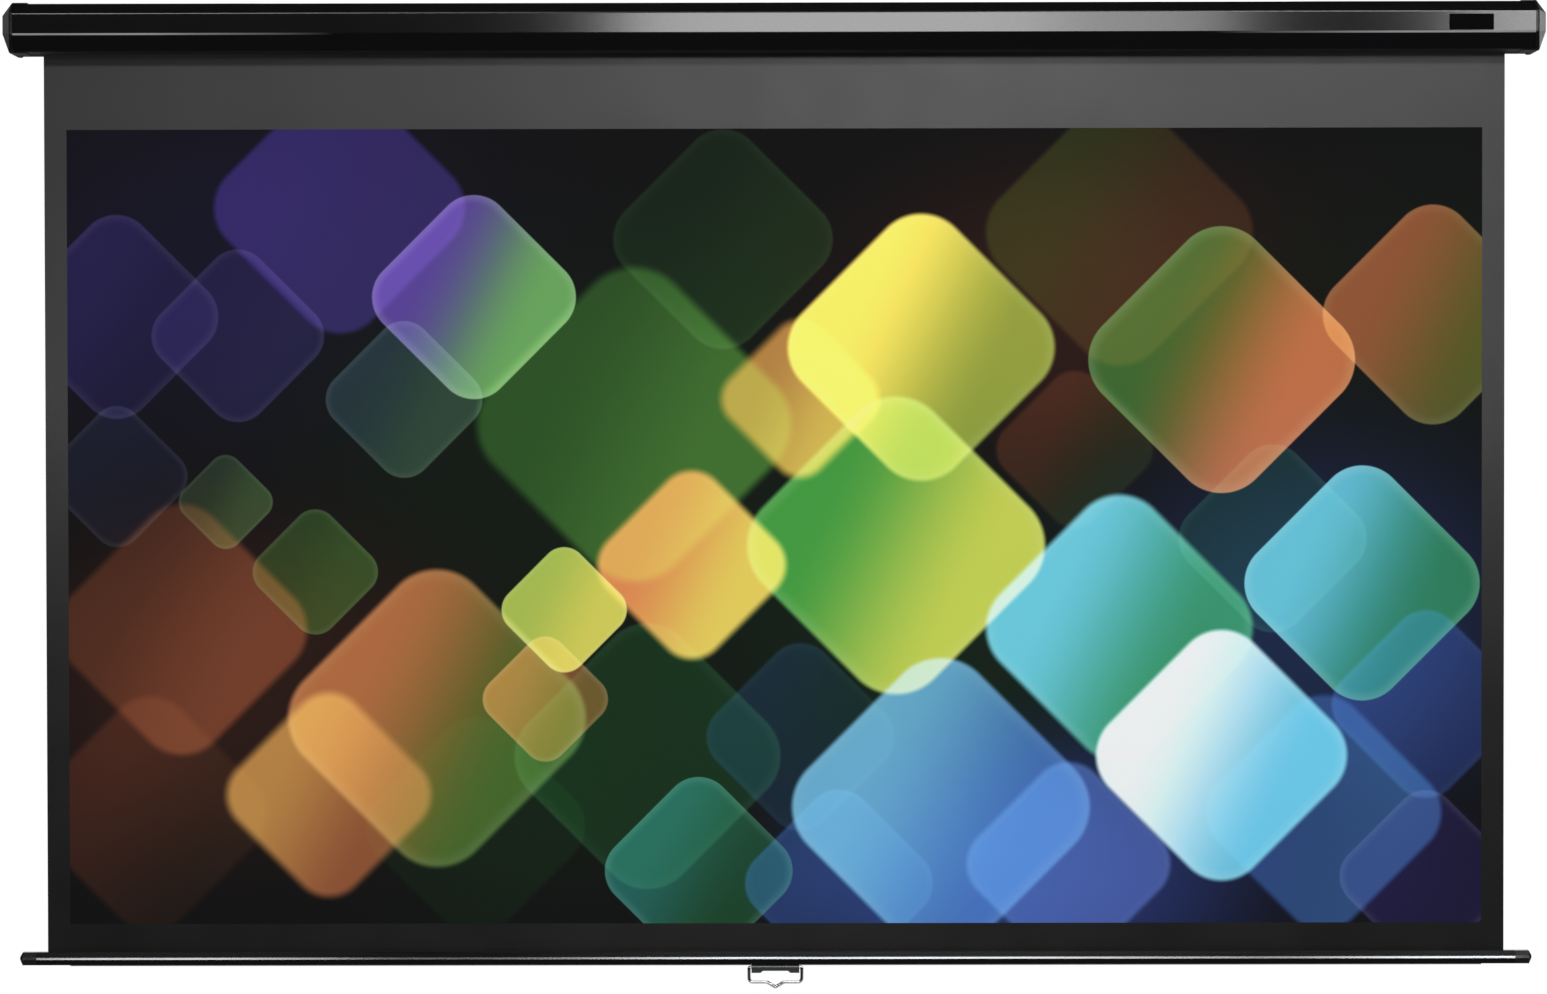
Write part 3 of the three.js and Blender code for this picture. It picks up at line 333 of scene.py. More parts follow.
@dataclass(frozen=True)
class MouldedPlastic(Mottled):
    """Injection-moulded plastic with a spark-eroded grain: soft sheen, colour through and through."""

    name: str
    dark: str
    light: str
    roughness: tuple[float, float] = (0.38, 0.5)
    grain_mm: float = 1.6
    grain_depth_mm: float = 0.02
    flow_mm: float = 40.0
    ior: float = 1.53
    specular: float = 0.5
    matt_edge: float | None = None
    matt_depth: float = 0.004

    def sockets(self, tree: NodeTree, coords: NodeSocket) -> dict:
        """Add the grain and the flow marks.

        Args:
            tree: The material's node tree.
            coords: The Object coordinates.

        Returns:
            What feeds the shader, by the input's name.
        """
        grain = add_node(tree, "ShaderNodeTexNoise", {
            "Vector": coords, "Scale": per_mm(self.grain_mm), "Detail": 2.0, "Roughness": 0.6}).outputs["Fac"]
        flow, colour = self.mottled(tree, coords, self.flow_mm)
        sheen = add_node(tree, "ShaderNodeMapRange", {
            "Value": flow, "From Min": NOISE_LOW, "From Max": NOISE_HIGH,
            "To Min": self.roughness[0], "To Max": self.roughness[1]}).outputs[0]
        if self.matt_edge is not None:
            sheen = matt_under(tree, coords, sheen, self.matt_edge, self.matt_depth)
        bump = add_node(tree, "ShaderNodeBump", {"Height": grain, "Distance": self.grain_depth_mm * MM})
        return {
            "Base Color": colour,
            "Roughness": sheen,
            "IOR": self.ior,
            "Specular IOR Level": self.specular,
            "Normal": bump.outputs["Normal"],
        }


@dataclass(frozen=True)
class DrawnMetal(Mottled):
    """Bare or plated metal that was drawn, rolled or extruded along one direction, with its fine lines."""

    name: str
    dark: str
    light: str
    roughness: tuple[float, float] = (0.28, 0.42)
    line_mm: float = 0.8
    line_depth_mm: float = 0.006
    line_stretch: float = 100.0
    stain_mm: float = 30.0

    def sockets(self, tree: NodeTree, coords: NodeSocket) -> dict:
        """Add the drawing lines and the stains.

        Args:
            tree: The material's node tree.
            coords: The Object coordinates.

        Returns:
            What feeds the shader, by the input's name.
        """
        drawn = add_node(tree, "ShaderNodeMapping", {
            "Vector": coords, "Scale": (1.0 / self.line_stretch, 1.0, 1.0)}).outputs[0]
        lines = add_node(tree, "ShaderNodeTexNoise", {
            "Vector": drawn, "Scale": per_mm(self.line_mm), "Detail": 3.0, "Roughness": 0.6}).outputs["Fac"]
        _, colour = self.mottled(tree, coords, self.stain_mm)
        wear_and_painted_highlight = add_node(tree, "ShaderNodeMapRange", {
            "Value": lines, "From Min": NOISE_LOW, "From Max": NOISE_HIGH,
            "To Min": self.roughness[0], "To Max": self.roughness[1]}).outputs[0]
        bump = add_node(tree, "ShaderNodeBump", {"Height": lines, "Distance": self.line_depth_mm * MM})
        return {"Base Color": colour, "Metallic": 1.0, "Roughness": wear_and_painted_highlight, "Normal": bump.outputs["Normal"]}


@dataclass(frozen=True)
class BarCoat(Mottled):
    """Black satin coat on an aluminium extrusion, with a painted highlight along the ridge, a pale metal band
    in place of the lamps mirrored there, and faint die lines.
    """

    name: str = "black_coated_extrusion"
    dark: str = "#050506"
    light: str = "#0a0a0b"
    # painted highlight: a pale metal band along the ridge stands in for the lamps mirrored on it
    ridge_highlight: str = "#6e7072"
    ridge_top: float = BAR_TOP - 0.0083
    ridge_bottom: float = BAR_TOP - 0.0113
    ridge_blur: float = 0.00025
    line_mm: float = 1.4
    line_depth_mm: float = 0.006
    line_stretch: float = 125.0
    dust_mm: float = 60.0
    roughness: tuple[float, float] = (0.16, 0.22)
    ior: float = 1.5
    specular: float = 0.12

    def ridge(self, tree: NodeTree, coords: NodeSocket) -> NodeSocket:
        """Give 1 on the ridge's painted highlight and 0 elsewhere.

        Args:
            tree: The material's node tree.
            coords: The Object coordinates.

        Returns:
            The ridge, from 0 to 1.
        """
        height = add_node(tree, "ShaderNodeSeparateXYZ", {"Vector": coords}).outputs["Z"]
        steps = [
            add_node(tree, "ShaderNodeMapRange", {
                "Value": height, "From Min": edge + blur, "From Max": edge - blur}).outputs[0]
            for edge, blur in ((self.ridge_top, self.ridge_blur), (self.ridge_bottom, -self.ridge_blur))
        ]
        return add_node(tree, "ShaderNodeMath", {0: steps[0], 1: steps[1]}, operation="MULTIPLY").outputs[0]

    def sockets(self, tree: NodeTree, coords: NodeSocket) -> dict:
        """Add the die lines, the dust and the painted highlight on the ridge.

        Args:
            tree: The material's node tree.
            coords: The Object coordinates.

        Returns:
            What feeds the shader, by the input's name.
        """
        drawn = add_node(tree, "ShaderNodeMapping", {
            "Vector": coords, "Scale": (1.0 / self.line_stretch, 1.0, 1.0)}).outputs[0]
        lines = add_node(tree, "ShaderNodeTexNoise", {
            "Vector": drawn, "Scale": per_mm(self.line_mm)}).outputs["Fac"]
        _, coat = self.mottled(tree, coords, self.dust_mm)
        ridge = self.ridge(tree, coords)
        # the ridge's painted highlight is mixed into the coat's colour and made metallic
        colour = add_node(tree, "ShaderNodeMix", {
            FACTOR: ridge, FIRST: coat, SECOND: linear(self.ridge_highlight)}, data_type="RGBA").outputs[MIXED]
        satin = add_node(tree, "ShaderNodeMapRange", {
            "Value": lines, "From Min": NOISE_LOW, "From Max": NOISE_HIGH,
            "To Min": self.roughness[0], "To Max": self.roughness[1]}).outputs[0]
        bump = add_node(tree, "ShaderNodeBump", {"Height": lines, "Distance": self.line_depth_mm * MM})
        return {
            "Base Color": colour,
            "Metallic": ridge,
            "Roughness": satin,
            "IOR": self.ior,
            "Specular IOR Level": self.specular,
            "Normal": bump.outputs["Normal"],
        }


@dataclass(frozen=True)
class ChromePlate(Surface):
    """Bright chrome on steel wire: mirror smooth, with the faintest ripple of the drawn wire under it."""

    name: str = "bright_chrome_plate"
    colour: str = "#dddee0"
    # painted reflection: a dark edge tint darkens the wire's outlines, where it is seen edge-on, in place of
    # dark surroundings mirrored there
    painted_dark_rim: str = "#1a1a1b"
    ripple_mm: float = 6.0
    ripple_depth_mm: float = 0.02
    roughness: tuple[float, float] = (0.04, 0.1)

    def sockets(self, tree: NodeTree, coords: NodeSocket) -> dict:
        """Add the ripple.

        Args:
            tree: The material's node tree.
            coords: The Object coordinates.

        Returns:
            What feeds the shader, by the input's name.
        """
        ripple = add_node(tree, "ShaderNodeTexNoise", {
            "Vector": coords, "Scale": per_mm(self.ripple_mm)}).outputs["Fac"]
        polish = add_node(tree, "ShaderNodeMapRange", {
            "Value": ripple, "From Min": NOISE_LOW, "From Max": NOISE_HIGH,
            "To Min": self.roughness[0], "To Max": self.roughness[1]}).outputs[0]
        bump = add_node(tree, "ShaderNodeBump", {"Height": ripple, "Distance": self.ripple_depth_mm * MM})
        return {
            "Base Color": linear(self.colour),
            # painted reflection: the edge tint darkens the outlines
            "Specular Tint": linear(self.painted_dark_rim),
            "Metallic": 1.0,
            "Roughness": polish,
            "Normal": bump.outputs["Normal"],
        }


@dataclass(frozen=True)
class Tile:
    """One soft motif of the picture: a lozenge with rounded corners, shaded from one colour to another."""

    x: float
    z: float
    size: float
    start: str
    end: str
    share: float
    soft: float = 0.02
    rim: float = 0.0

    def inputs(self) -> dict:
        """Give the lozenge group's values by the name of its input.

        Returns:
            The values.
        """
        blur = self.soft / self.size * LOZENGE_BLUR
        return {
            "Centre": (self.x, 0.0, self.z), "Size": (self.size, 1.0, self.size), "Share": self.share,
            "Near": LOZENGE_CORNER - blur, "Far": LOZENGE_CORNER + blur, "Rim": self.rim * RIM_SHARE,
            "Start": linear(self.start), "End": linear(self.end),
        }


@dataclass(frozen=True)
class Glow:
    """One broad pool of colour behind the motifs of the picture."""

    x: float
    z: float
    width: float
    height: float
    colour: str
    share: float

    def inputs(self) -> dict:
        """Give the pool group's values by the name of its input.

        Returns:
            The values.
        """
        return {
            "Centre": (self.x, 0.0, self.z), "Spread": (self.width, 1.0, self.height), "Share": self.share,
            "Colour": linear(self.colour),
        }


class Pictures(Enum):
    """The generic picture on the screen, projected light painted into the cloth's colour: pools of colour,
    and lozenges over them.
    """

    GLOWS = (
        Glow(-0.85, 0.40, 0.80, 0.55, "#20134a", 0.9),
        Glow(-0.30, 0.10, 0.80, 0.60, "#123a1a", 0.9),
        Glow(0.50, 0.35, 0.70, 0.40, "#5a3010", 0.8),
        Glow(1.00, 0.35, 0.50, 0.40, "#123414", 0.7),
        Glow(-0.85, -0.25, 0.65, 0.45, "#5c3210", 0.8),
        Glow(-0.35, -0.40, 0.65, 0.40, "#0c3418", 0.85),
        Glow(0.25, -0.20, 0.60, 0.45, "#084a2c", 0.8),
        Glow(0.85, -0.15, 0.60, 0.50, "#0c4a78", 0.85),
        Glow(0.40, -0.55, 0.60, 0.35, "#10549c", 0.85),
        Glow(1.05, -0.60, 0.35, 0.25, "#191040", 0.9),
    )
    TILES = (
        Tile(-0.68, 0.50, 0.16, "#4b2c85", "#4a2f80", 0.9, 0.06),
        Tile(-1.03, 0.33, 0.13, "#3a2470", "#2c1c58", 0.75, 0.02, 0.3),
        Tile(-0.84, 0.30, 0.11, "#3c2c70", "#443378", 0.55, 0.02, 0.4),
        Tile(-0.47, 0.36, 0.13, "#7a52b8", "#8cc47a", 0.85, 0.015, 0.7),
        Tile(-0.58, 0.20, 0.10, "#54707a", "#6a8a78", 0.5, 0.015, 0.5),
        Tile(-0.22, 0.16, 0.20, "#4f7f34", "#6aa040", 0.75, 0.10),
        Tile(-0.08, 0.45, 0.14, "#2f5a2c", "#3c6a34", 0.5, 0.03, 0.2),
        Tile(0.04, 0.20, 0.10, "#d8a838", "#f0d850", 0.8, 0.10),
        Tile(0.23, 0.28, 0.17, "#ffef55", "#a8b840", 0.95, 0.05, 0.4),
        Tile(0.19, -0.03, 0.19, "#54b848", "#d8e04c", 0.9, 0.05, 0.6),
        Tile(-0.13, -0.06, 0.12, "#f2a23c", "#f6e25a", 0.85, 0.08, 0.3),
        Tile(-0.33, -0.13, 0.08, "#c8d860", "#e8e464", 0.85, 0.015, 0.6),
        Tile(0.54, 0.46, 0.17, "#5a6a20", "#6a4a1c", 0.6, 0.06),
        Tile(0.70, 0.26, 0.17, "#3c8a40", "#d08428", 0.95, 0.015, 0.5),
        Tile(1.03, 0.33, 0.14, "#c07a2a", "#8a8a34", 0.75, 0.02, 0.4),
        Tile(0.47, 0.12, 0.10, "#7a4a1a", "#4a5a20", 0.55, 0.05),
        Tile(0.92, -0.09, 0.15, "#74cfe0", "#28a060", 0.9, 0.015, 0.7),
        Tile(0.78, -0.02, 0.12, "#1c6c4c", "#206a54", 0.45, 0.02, 0.4),
        Tile(0.54, -0.16, 0.17, "#7cd8e8", "#3cb070", 0.92, 0.06, 0.5),
        Tile(0.70, -0.36, 0.16, "#f0faff", "#74cfe4", 0.95, 0.05, 0.8),
        Tile(0.86, -0.45, 0.15, "#2880c8", "#3c9ad8", 0.45, 0.06),
        Tile(1.02, -0.28, 0.12, "#1c58a0", "#184a8c", 0.65, 0.04, 0.2),
        Tile(0.26, -0.44, 0.19, "#88d0f0", "#3c8cd0", 0.75, 0.05, 0.5),
        Tile(0.46, -0.53, 0.13, "#5c8cd8", "#6a80cc", 0.55, 0.06, 0.3),
        Tile(0.10, -0.56, 0.12, "#1c64a4", "#1a5488", 0.6, 0.03, 0.2),
        Tile(0.04, -0.33, 0.12, "#14507c", "#124a5c", 0.5, 0.03, 0.2),
        Tile(1.02, -0.55, 0.11, "#33206a", "#2a1a58", 0.75, 0.02, 0.4),
        Tile(-0.20, -0.36, 0.17, "#0e5c30", "#0f5a34", 0.7, 0.03, 0.2),
        Tile(-0.12, -0.54, 0.12, "#128a84", "#0c6c3c", 0.9, 0.012, 0.5),
        Tile(-0.47, -0.47, 0.14, "#123c1c", "#14401e", 0.6, 0.04),
        Tile(-0.53, -0.30, 0.19, "#ce8a30", "#6c8c34", 0.85, 0.06, 0.4),
        Tile(-0.70, -0.42, 0.13, "#e0b044", "#c07a2c", 0.75, 0.10, 0.2),
        Tile(-0.36, -0.27, 0.08, "#c88430", "#a4702c", 0.75, 0.015, 0.6),
        Tile(-0.93, -0.16, 0.16, "#7a4a18", "#a06020", 0.7, 0.08),
        Tile(-0.98, -0.45, 0.15, "#6a3c14", "#4a3412", 0.7, 0.08),
        Tile(-0.72, -0.07, 0.08, "#4c7c3c", "#5c8c44", 0.6, 0.015, 0.5),
        Tile(-0.86, 0.04, 0.06, "#54704c", "#6c905c", 0.55, 0.015, 0.5),
        Tile(-1.03, 0.08, 0.09, "#34405a", "#2c3850", 0.55, 0.02, 0.4),
    )


@dataclass(frozen=True)
class Woven(Surface):
    """What the sides of the coated glass-fibre cloth share: a plain weave, pressed nearly flat."""

    name: str = "coated_woven_cloth"
    weave_mm: float = 4.0  # real threads are 0.5 mm apart: drawn coarser to show
    weave_depth_mm: float = 0.05
    weave_strength: float = 0.2

    def weave(self, tree: NodeTree, coords: NodeSocket) -> NodeSocket:
        """Give the normal of a plain weave over the cloth's width and length.

        Args:
            tree: The material's node tree.
            coords: The Object coordinates.

        Returns:
            The normal.
        """
        split = add_node(tree, "ShaderNodeSeparateXYZ", {"Vector": coords}).outputs
        threads = []
        for axis in ("X", "Z"):
            angle = add_node(tree, "ShaderNodeMath", {0: split[axis], 1: FULL_TURN * per_mm(self.weave_mm)},
                             operation="MULTIPLY").outputs[0]
            threads.append(add_node(tree, "ShaderNodeMath", {0: angle}, operation="SINE").outputs[0])
        height = add_node(tree, "ShaderNodeMath", {0: threads[0], 1: threads[1]}, operation="MULTIPLY")
        return add_node(tree, "ShaderNodeBump", {
            "Height": height.outputs[0], "Distance": self.weave_depth_mm * MM,
            "Strength": self.weave_strength}).outputs["Normal"]


@dataclass(frozen=True)
class PictureCloth(Woven):
    """Coated glass-fibre cloth, calendered: matt where it shows a picture, with hardly a gleam. The picture
    is a projector's light painted into the cloth's colour.
    """

    name: str = "matt_coated_screen_cloth"
    roughness: float = 0.9
    specular: float = 0.08

    def sockets(self, tree: NodeTree, coords: NodeSocket) -> dict:
        """Add the picture and the weave.

        Args:
            tree: The material's node tree.
            coords: The Object coordinates.

        Returns:
            What feeds the shader, by the input's name.
        """
        return {
            "Base Color": picture_colour(tree, coords),
            "Roughness": self.roughness,
            "Specular IOR Level": self.specular,
            "Normal": self.weave(tree, coords),
        }


@dataclass(frozen=True)
class PrintedCloth(Woven, Mottled):
    """The same cloth under a rolled coat of black ink: a soft sheen, cloudy where the ink lies thinner."""

    name: str = "black_printed_cloth"
    dark: str = "#08080a"
    light: str = "#0e0e0f"
    roughness: tuple[float, float] = (0.35, 0.39)
    specular: float = 0.62
    cloud_mm: float = 120.0

    def sockets(self, tree: NodeTree, coords: NodeSocket) -> dict:
        """Add the ink's clouds and the weave.

        Args:
            tree: The material's node tree.
            coords: The Object coordinates.

        Returns:
            What feeds the shader, by the input's name.
        """
        ink, colour = self.mottled(tree, coords, self.cloud_mm)
        sheen = add_node(tree, "ShaderNodeMapRange", {
            "Value": ink, "From Min": NOISE_LOW, "From Max": NOISE_HIGH,
            "To Min": self.roughness[0], "To Max": self.roughness[1]}).outputs[0]
        return {
            "Base Color": colour,
            "Roughness": sheen,
            "Specular IOR Level": self.specular,
            "Normal": self.weave(tree, coords),
        }


def blank_group(name: str, wires: dict[str, str]) -> tuple[NodeTree, Node]:
    """Start a node group that gives one colour.

    Args:
        name: The group's name.
        wires: The kind of each input socket, by the input's name.

    Returns:
        The group, and the node that holds its inputs.
    """
    tree = bpy.data.node_groups.new(name, "ShaderNodeTree")
    for wire, kind in wires.items():
        tree.interface.new_socket(name=wire, in_out="INPUT", socket_type=f"NodeSocket{kind}")
    tree.interface.new_socket(name="Color", in_out="OUTPUT", socket_type="NodeSocketColor")
    return tree, add_node(tree, "NodeGroupInput")


def lozenge_group() -> NodeTree:
    """Build the node group that lays one lozenge with rounded corners over a colour.

    Returns:
        The group.
    """
    tree, given = blank_group("lozenge_motif", {
        "Base": "Color", "Place": "Vector", "Centre": "Vector", "Size": "Vector", "Near": "Float",
        "Far": "Float", "Share": "Float", "Rim": "Float", "Start": "Color", "End": "Color"})
    wire = given.outputs
    place = add_node(tree, "ShaderNodeMapping", {
        "Vector": wire["Place"], "Location": wire["Centre"], "Rotation": (0.0, math.pi / 4.0, 0.0),
        "Scale": wire["Size"]}, vector_type="TEXTURE").outputs[0]
    core = 1.0 - LOZENGE_CORNER
    away = add_node(tree, "ShaderNodeVectorMath", {0: place}, operation="ABSOLUTE").outputs[0]
    past = add_node(tree, "ShaderNodeVectorMath", {0: away, 1: (core, 0.0, core)}, operation="SUBTRACT")
    outer = add_node(tree, "ShaderNodeVectorMath", {0: past.outputs[0], 1: (0.0, 0.0, 0.0)},
                     operation="MAXIMUM").outputs[0]
    reach = add_node(tree, "ShaderNodeVectorMath", {0: outer}, operation="LENGTH").outputs["Value"]
    slope = add_node(tree, "ShaderNodeVectorMath", {0: place, 1: (1.0, 0.0, SHADE_LEAN)},
                     operation="DOT_PRODUCT").outputs["Value"]
    shade = add_node(tree, "ShaderNodeMapRange", {
        "Value": slope, "From Min": -SHADE_REACH, "From Max": SHADE_REACH},
        interpolation_type="SMOOTHSTEP").outputs[0]
    inner = add_node(tree, "ShaderNodeMix", {FACTOR: shade, FIRST: wire["Start"], SECOND: wire["End"]},
                     data_type="RGBA").outputs[MIXED]
    edge = add_node(tree, "ShaderNodeMapRange", {
        "Value": reach, "From Min": LOZENGE_CORNER * RIM_START, "From Max": LOZENGE_CORNER * RIM_END,
        "To Max": wire["Rim"]}, interpolation_type="SMOOTHSTEP").outputs[0]
    rimmed = add_node(tree, "ShaderNodeMix", {FACTOR: edge, FIRST: inner, SECOND: linear(RIM_COLOUR)},
                      data_type="RGBA").outputs[MIXED]
    cover = add_node(tree, "ShaderNodeMapRange", {
        "Value": reach, "From Min": wire["Far"], "From Max": wire["Near"], "To Max": wire["Share"]},
        interpolation_type="SMOOTHSTEP").outputs[0]
    laid = add_node(tree, "ShaderNodeMix", {FACTOR: cover, FIRST: wire["Base"], SECOND: rimmed},
                    data_type="RGBA", blend_type="SCREEN").outputs[MIXED]
    add_node(tree, "NodeGroupOutput", {"Color": laid})
    return tree


def glow_group() -> NodeTree:
    """Build the node group that lays one soft pool of colour over another colour.

    Returns:
        The group.
    """
    tree, given = blank_group("pool_of_colour", {
        "Base": "Color", "Place": "Vector", "Centre": "Vector", "Spread": "Vector", "Share": "Float",
        "Colour": "Color"})
    wire = given.outputs
    moved = add_node(tree, "ShaderNodeMapping", {
        "Vector": wire["Place"], "Location": wire["Centre"], "Scale": wire["Spread"]},
        vector_type="TEXTURE").outputs[0]
    reach = add_node(tree, "ShaderNodeVectorMath", {0: moved}, operation="LENGTH").outputs["Value"]
    fade = add_node(tree, "ShaderNodeMapRange", {"Value": reach, "From Min": 1.0, "From Max": 0.0},
                    interpolation_type="SMOOTHERSTEP").outputs[0]
    weight = add_node(tree, "ShaderNodeMath", {0: fade, 1: wire["Share"]}, operation="MULTIPLY").outputs[0]
    laid = add_node(tree, "ShaderNodeMix", {FACTOR: weight, FIRST: wire["Base"], SECOND: wire["Colour"]},
                    data_type="RGBA").outputs[MIXED]
    add_node(tree, "NodeGroupOutput", {"Color": laid})
    return tree


def picture_colour(tree: NodeTree, coords: NodeSocket) -> NodeSocket:
    """Lay the picture's pools and lozenges over a dark ground, as projected light painted into the cloth's
    colour.

    Args:
        tree: The node tree of the cloth's material.
        coords: The Object coordinates.

    Returns:
        The colour of the finished picture.
    """
    middle = (PICTURE_TOP + PICTURE_BOTTOM) / 2.0
    flat = add_node(tree, "ShaderNodeMapping", {
        "Vector": coords, "Location": (0.0, 0.0, -middle), "Scale": (1.0, 0.0, 1.0)}).outputs[0]
    pool, lozenge = glow_group(), lozenge_group()
    colour = linear(GROUND_COLOUR)
    for motifs, group in ((Pictures.GLOWS.value, pool), (Pictures.TILES.value, lozenge)):
        for motif in motifs:
            wires = motif.inputs() | {"Base": colour, "Place": flat}
            colour = add_node(tree, "ShaderNodeGroup", wires, node_tree=group).outputs["Color"]
    deep = add_node(tree, "ShaderNodeGamma", {"Color": colour, "Gamma": PROJECTION_CONTRAST}).outputs[0]
    projected = add_node(tree, "ShaderNodeHueSaturation", {
        "Color": deep, "Saturation": PROJECTION_STRENGTH, "Value": PROJECTION_GAIN}).outputs[0]
    veiled = add_node(tree, "ShaderNodeVectorMath", {0: projected, 1: (PROJECTION_VEIL,) * 3}, operation="ADD")
    return add_node(tree, "ShaderNodeVectorMath", {0: veiled.outputs[0], 1: (PROJECTION_WHITE,) * 3},
                    operation="MINIMUM").outputs[0]


class Finish(Enum):
    """Every finish of the screen."""

    POWDER = PowderCoat()
    CAP = MouldedPlastic("black_moulded_abs", "#0a0a0b", "#101011", (0.22, 0.32), matt_edge=-0.0372)
    PLUG = MouldedPlastic("black_moulded_polypropylene", "#060607", "#0b0b0c", (0.16, 0.26), specular=0.2)
    NYLON = MouldedPlastic("natural_nylon", "#cfccc2", "#dedbd2", (0.4, 0.55))
    STRIP = MouldedPlastic("grey_flexible_pvc", "#8a8d8f", "#9a9d9f", (0.5, 0.62), 2.0)
    BADGE = MouldedPlastic(
        "black_lacquered_label_plate", "#030304", "#050506", (0.5, 0.6), grain_mm=3.0, grain_depth_mm=0.01,
        specular=0.03)
    ZINC = DrawnMetal("zinc_plated_steel", "#9a9da3", "#b4b7bc")
    SPRING = DrawnMetal("oiled_spring_steel", "#4a4c50", "#66696e", (0.25, 0.35))
    ALUMINIUM = DrawnMetal("mill_finish_aluminium", "#b9bbbf", "#cccdd0")
    HOLDER = DrawnMetal("dark_lacquered_steel", "#585b5a", "#6b6e6d", (0.32, 0.44))
    BAR = BarCoat()
    CHROME = ChromePlate()
    PICTURE = PictureCloth()
    MASKING = PrintedCloth()
    BACKING = PrintedCloth(
        name="black_cloth_backing", dark="#131315", light="#1c1c1f", roughness=(0.6, 0.72), specular=0.5,
        cloud_mm=150.0)


# Pieces


def dress(choice: Finish, *nodes: str) -> None:
    """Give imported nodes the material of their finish.

    Args:
        choice: The finish.
        *nodes: The names of the nodes.
    """
    for node in nodes:
        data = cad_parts[node].data
        data.materials.clear()
        data.materials.append(choice.value.material())
        log.info("dressed %s in %s", node, choice.value.name)


def place(mesh: BMesh, name: str, body: Body, slot: Slot, choices: tuple[Finish, ...],
          smooth_deg: float = 30.0) -> Object:
    """Turn a finished bmesh into a piece that rides on a body.

    Args:
        mesh: The bmesh, which is freed.
        name: The piece's name.
        body: The body that it moves with.
        slot: The record's material slot; not used.
        choices: The finishes, in the order of the faces' material numbers.
        smooth_deg: Edges flatter than this are shaded smooth.

    Returns:
        The object.
    """
    data = bpy.data.meshes.new(name)
    mesh.to_mesh(data)
    mesh.free()
    for choice in choices:
        data.materials.append(choice.value.material())
    piece = bpy.data.objects.new(name, data)
    bpy.context.scene.collection.objects.link(piece)
    data.shade_smooth()
    data.set_sharp_from_angle(angle=math.radians(smooth_deg))
    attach(piece, body.value)
    log.info("built %s with %d faces", name, len(data.polygons))
    return piece


def polyline(mesh: BMesh, points: list[Vector]) -> list[BMEdge]:
    """Add a chain of edges through points and return the edges."""
    verts = [mesh.verts.new(point) for point in points]
    return [mesh.edges.new(pair) for pair in zip(verts, verts[1:])]


def drawn_out(mesh: BMesh, edges: list[BMEdge], start: float, end: float, cuts: int) -> None:
    """Draw a chain of edges out along X into a band, and cut the band across.

    Args:
        mesh: The bmesh that holds the edges.
        edges: The chain, at x = start.
        start: Where the band begins.
        end: Where it ends.
        cuts: The number of cuts across it.
    """
    out = bmesh.ops.extrude_edge_only(mesh, edges=edges)
    moved = [item for item in out["geom"] if isinstance(item, BMVert)]
    bmesh.ops.translate(mesh, verts=moved, vec=(end - start, 0.0, 0.0))
    long_edges = [e for e in mesh.edges if abs(e.verts[0].co.x - e.verts[1].co.x) > (end - start) / 2.0]
    bmesh.ops.subdivide_edges(mesh, edges=long_edges, cuts=cuts, use_grid_fill=True)


def thicken(mesh: BMesh, thickness: float) -> None:
    """Give a sheet its thickness, half to each side, as one closed shell.

    Args:
        mesh: The sheet, changed in place.
        thickness: In metres.
    """
    mesh.normal_update()
    for vert in mesh.verts:
        vert.co += vert.normal * (thickness / 2.0)
    bmesh.ops.solidify(mesh, geom=mesh.faces[:], thickness=thickness)
    bmesh.ops.recalc_face_normals(mesh, faces=mesh.faces)


@dataclass
class Case:
    """The steel case, its caps, brackets and fasteners, and the blank badge plate on its band."""

    badge_low: tuple[float, float] = (1.0440, -0.0090)
    badge_high: tuple[float, float] = (1.1124, 0.0155)
    band_front: float = -0.0760
    badge_thickness: float = 0.0012
    badge_corner: float = 0.0015
    badge_rim: float = 0.0008
    badge_step: float = 0.0003

    def build(self) -> None:
        """Dress the case's nodes and add the badge plate."""
        dress(Finish.POWDER, "case_shell")
        for side in ("left", "right"):
            dress(Finish.CAP, f"end_cap_{side}")
            dress(Finish.ZINC, f"end_bracket_{side}", *(
                f"{piece}_{side}_{number}" for piece in ("bracket_rivet", "cap_screw") for number in (1, 2)))
        self.badge()

    def badge(self) -> None:
        """Model the badge plate: a blank plate with rounded corners, and a rim round its sunk face."""
        (left, low), (right, high) = self.badge_low, self.badge_high
        mesh = bmesh.new()
        bmesh.ops.create_cube(mesh, size=1.0)
        bmesh.ops.scale(mesh, verts=mesh.verts, vec=(right - left, self.badge_thickness, high - low))
        centre = ((left + right) / 2.0, self.band_front - self.badge_thickness / 2.0, (low + high) / 2.0)
        bmesh.ops.translate(mesh, verts=mesh.verts, vec=centre)
        half = self.badge_thickness / 2.0
        corners = [e for e in mesh.edges if abs(e.verts[0].co.y - e.verts[1].co.y) > half]
        bmesh.ops.bevel(mesh, geom=corners, offset=self.badge_corner, affect="EDGES", segments=4, profile=0.5,
                        material=-1)
        front = [f for f in mesh.faces if f.normal.y < FORWARD]
        bmesh.ops.inset_region(mesh, faces=front, thickness=self.badge_rim, use_even_offset=True)
        bmesh.ops.inset_region(mesh, faces=front, thickness=self.badge_step, depth=-self.badge_step,
                               use_even_offset=True)
        bmesh.ops.recalc_face_normals(mesh, faces=mesh.faces)
        place(mesh, "badge_plate", Body.CASE, Slot.CAPS, (Finish.BADGE,), smooth_deg=35.0)


